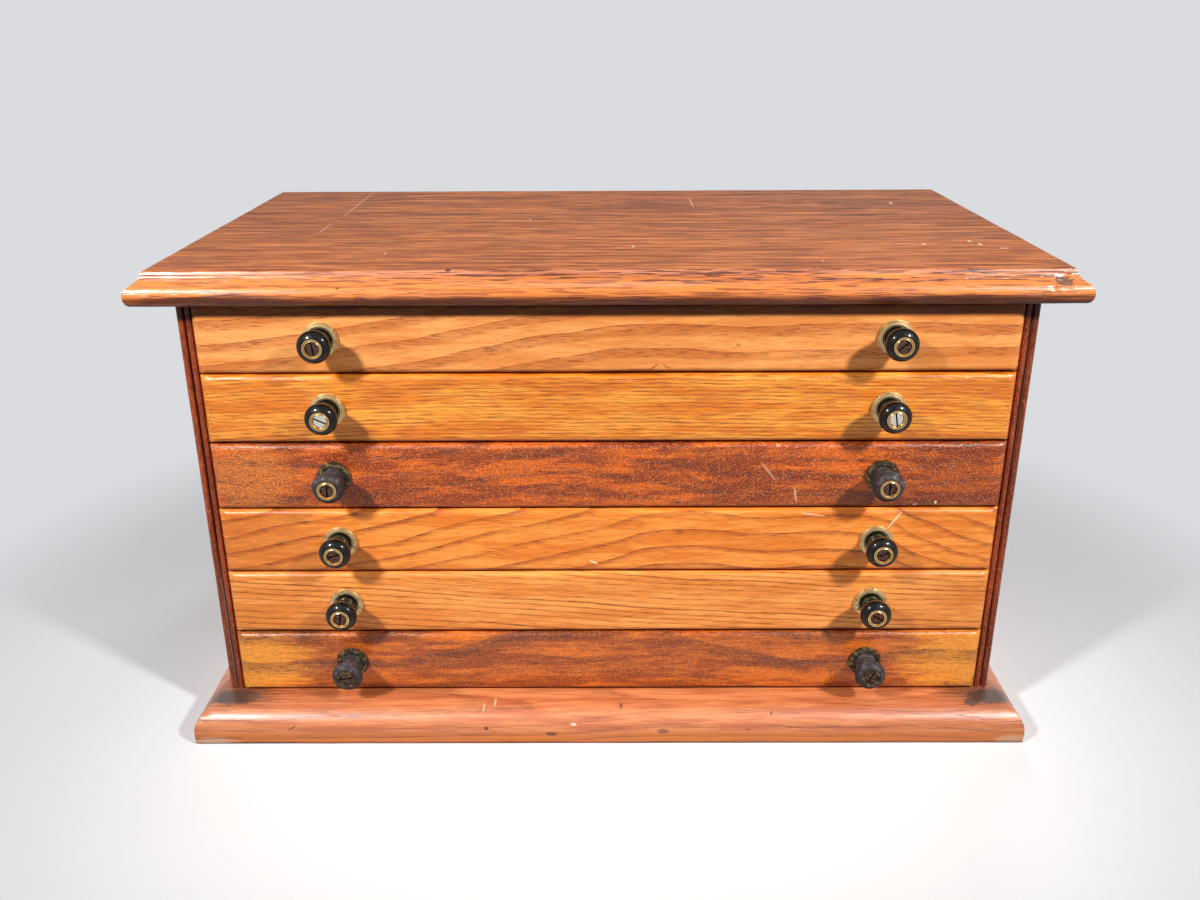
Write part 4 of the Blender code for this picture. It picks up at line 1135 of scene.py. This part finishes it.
# %% Twelve knobs
SCREW_TURNS = [(98, 45), (-25, -80), (88, 90), (15, 20), (80, -30), (5, 60)]
USED = {"knob": "ebonised_wood_polished", "rose": "brass_handled",
        "ferrule": "brass_worn_bright", "screw": "steel_rusted"}
DUSTY = {**USED, "knob": "ebonised_wood_dusty", "rose": "brass_tarnished"}
DRAWER_FITTINGS = [USED, {**USED, "screw": "steel_plated"}, DUSTY, USED, USED,
                   {**DUSTY, "ferrule": "brass_tarnished"}]


def drawer_fittings():
    for number, (turns, finishes) in enumerate(zip(SCREW_TURNS, DRAWER_FITTINGS), 1):
        body = f"drawer_{number}"
        low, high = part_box(body + "_knob_right")
        knobs = (body + "_knob_left", body + "_knob_right")
        brass = (body + "_rose_and_screw_left", body + "_rose_and_screw_right")
        common = {"Half spacing": (low.x + high.x) / 2,
                  "Middle": (0, FACE * MM, (low.z + high.z) / 2),
                  "Left turn": math.radians(-turns[0]), "Right turn": math.radians(-turns[1])}
        for kind, finish in finishes.items():
            inputs = {**common, "Master": masters[kind], "Finish": FITTINGS[finish]}
            slot, stands_for = ("black_knob", knobs) if kind == "knob" else ("brass", brass)
            fitting_pair(f"{body}_{kind}s", inputs, body, slot, *stands_for)
    for master in masters.values():
        bpy.data.objects.remove(master)
    print("pairs of fittings:", 4 * len(SCREW_TURNS))


drawer_fittings()

# %% [markdown]
# ## Boards that stay as they are
# The boxes of the drawers and the back of the case need no new shapes, only wood: bare,
# planed oak inside a drawer and darker, rough oak behind. They show when a drawer is
# open. They could share one material, but the grain of a side runs from front to back
# and that of the rest from left to right, so there is one for each way a board lies.

# %% Bare boards
# Oak, planed and never varnished: pale, dry and matt, without any highlight.
BARE_OAK = {"light": "D8B488", "deep": "C79C6C", "band": "A87A4C", "pore": "8A6038",
            "rough": 0.70, "coat": 0.0, "ring_mm": 5, "seed": 101.0, "bump": 0.35}
# Oak, sawn and stained by age, as nobody polishes a back: dark brown and dull.
DARK_OAK = {"light": "7C4A2E", "deep": "663A22", "band": "47240F", "pore": "371A0B",
            "rough": 0.62, "coat": 0.0, "ring_mm": 9, "seed": 113.0}


def bare_boards():
    sides = varnished_oak("bare_oak_side", Vector(), grain=("Y", "X", "Z"), **BARE_OAK)
    cross = varnished_oak("bare_oak_cross", Vector(), **BARE_OAK)
    floors = varnished_oak("bare_oak_floor", Vector(), grain=("X", "Z", "Y"), **BARE_OAK)
    wanted = {"back_panel": varnished_oak("dark_oak_back", Vector(), **DARK_OAK)}
    for number in range(1, len(FRONT_FINISHES) + 1):
        body = f"drawer_{number}"
        wanted.update({body + "_side_left": sides, body + "_side_right": sides,
                       body + "_back": cross, body + "_bottom": floors})
    for node, material in wanted.items():
        nodes[node].material_slots[0].material = material
    print(len(wanted), "boards keep their solids")


bare_boards()
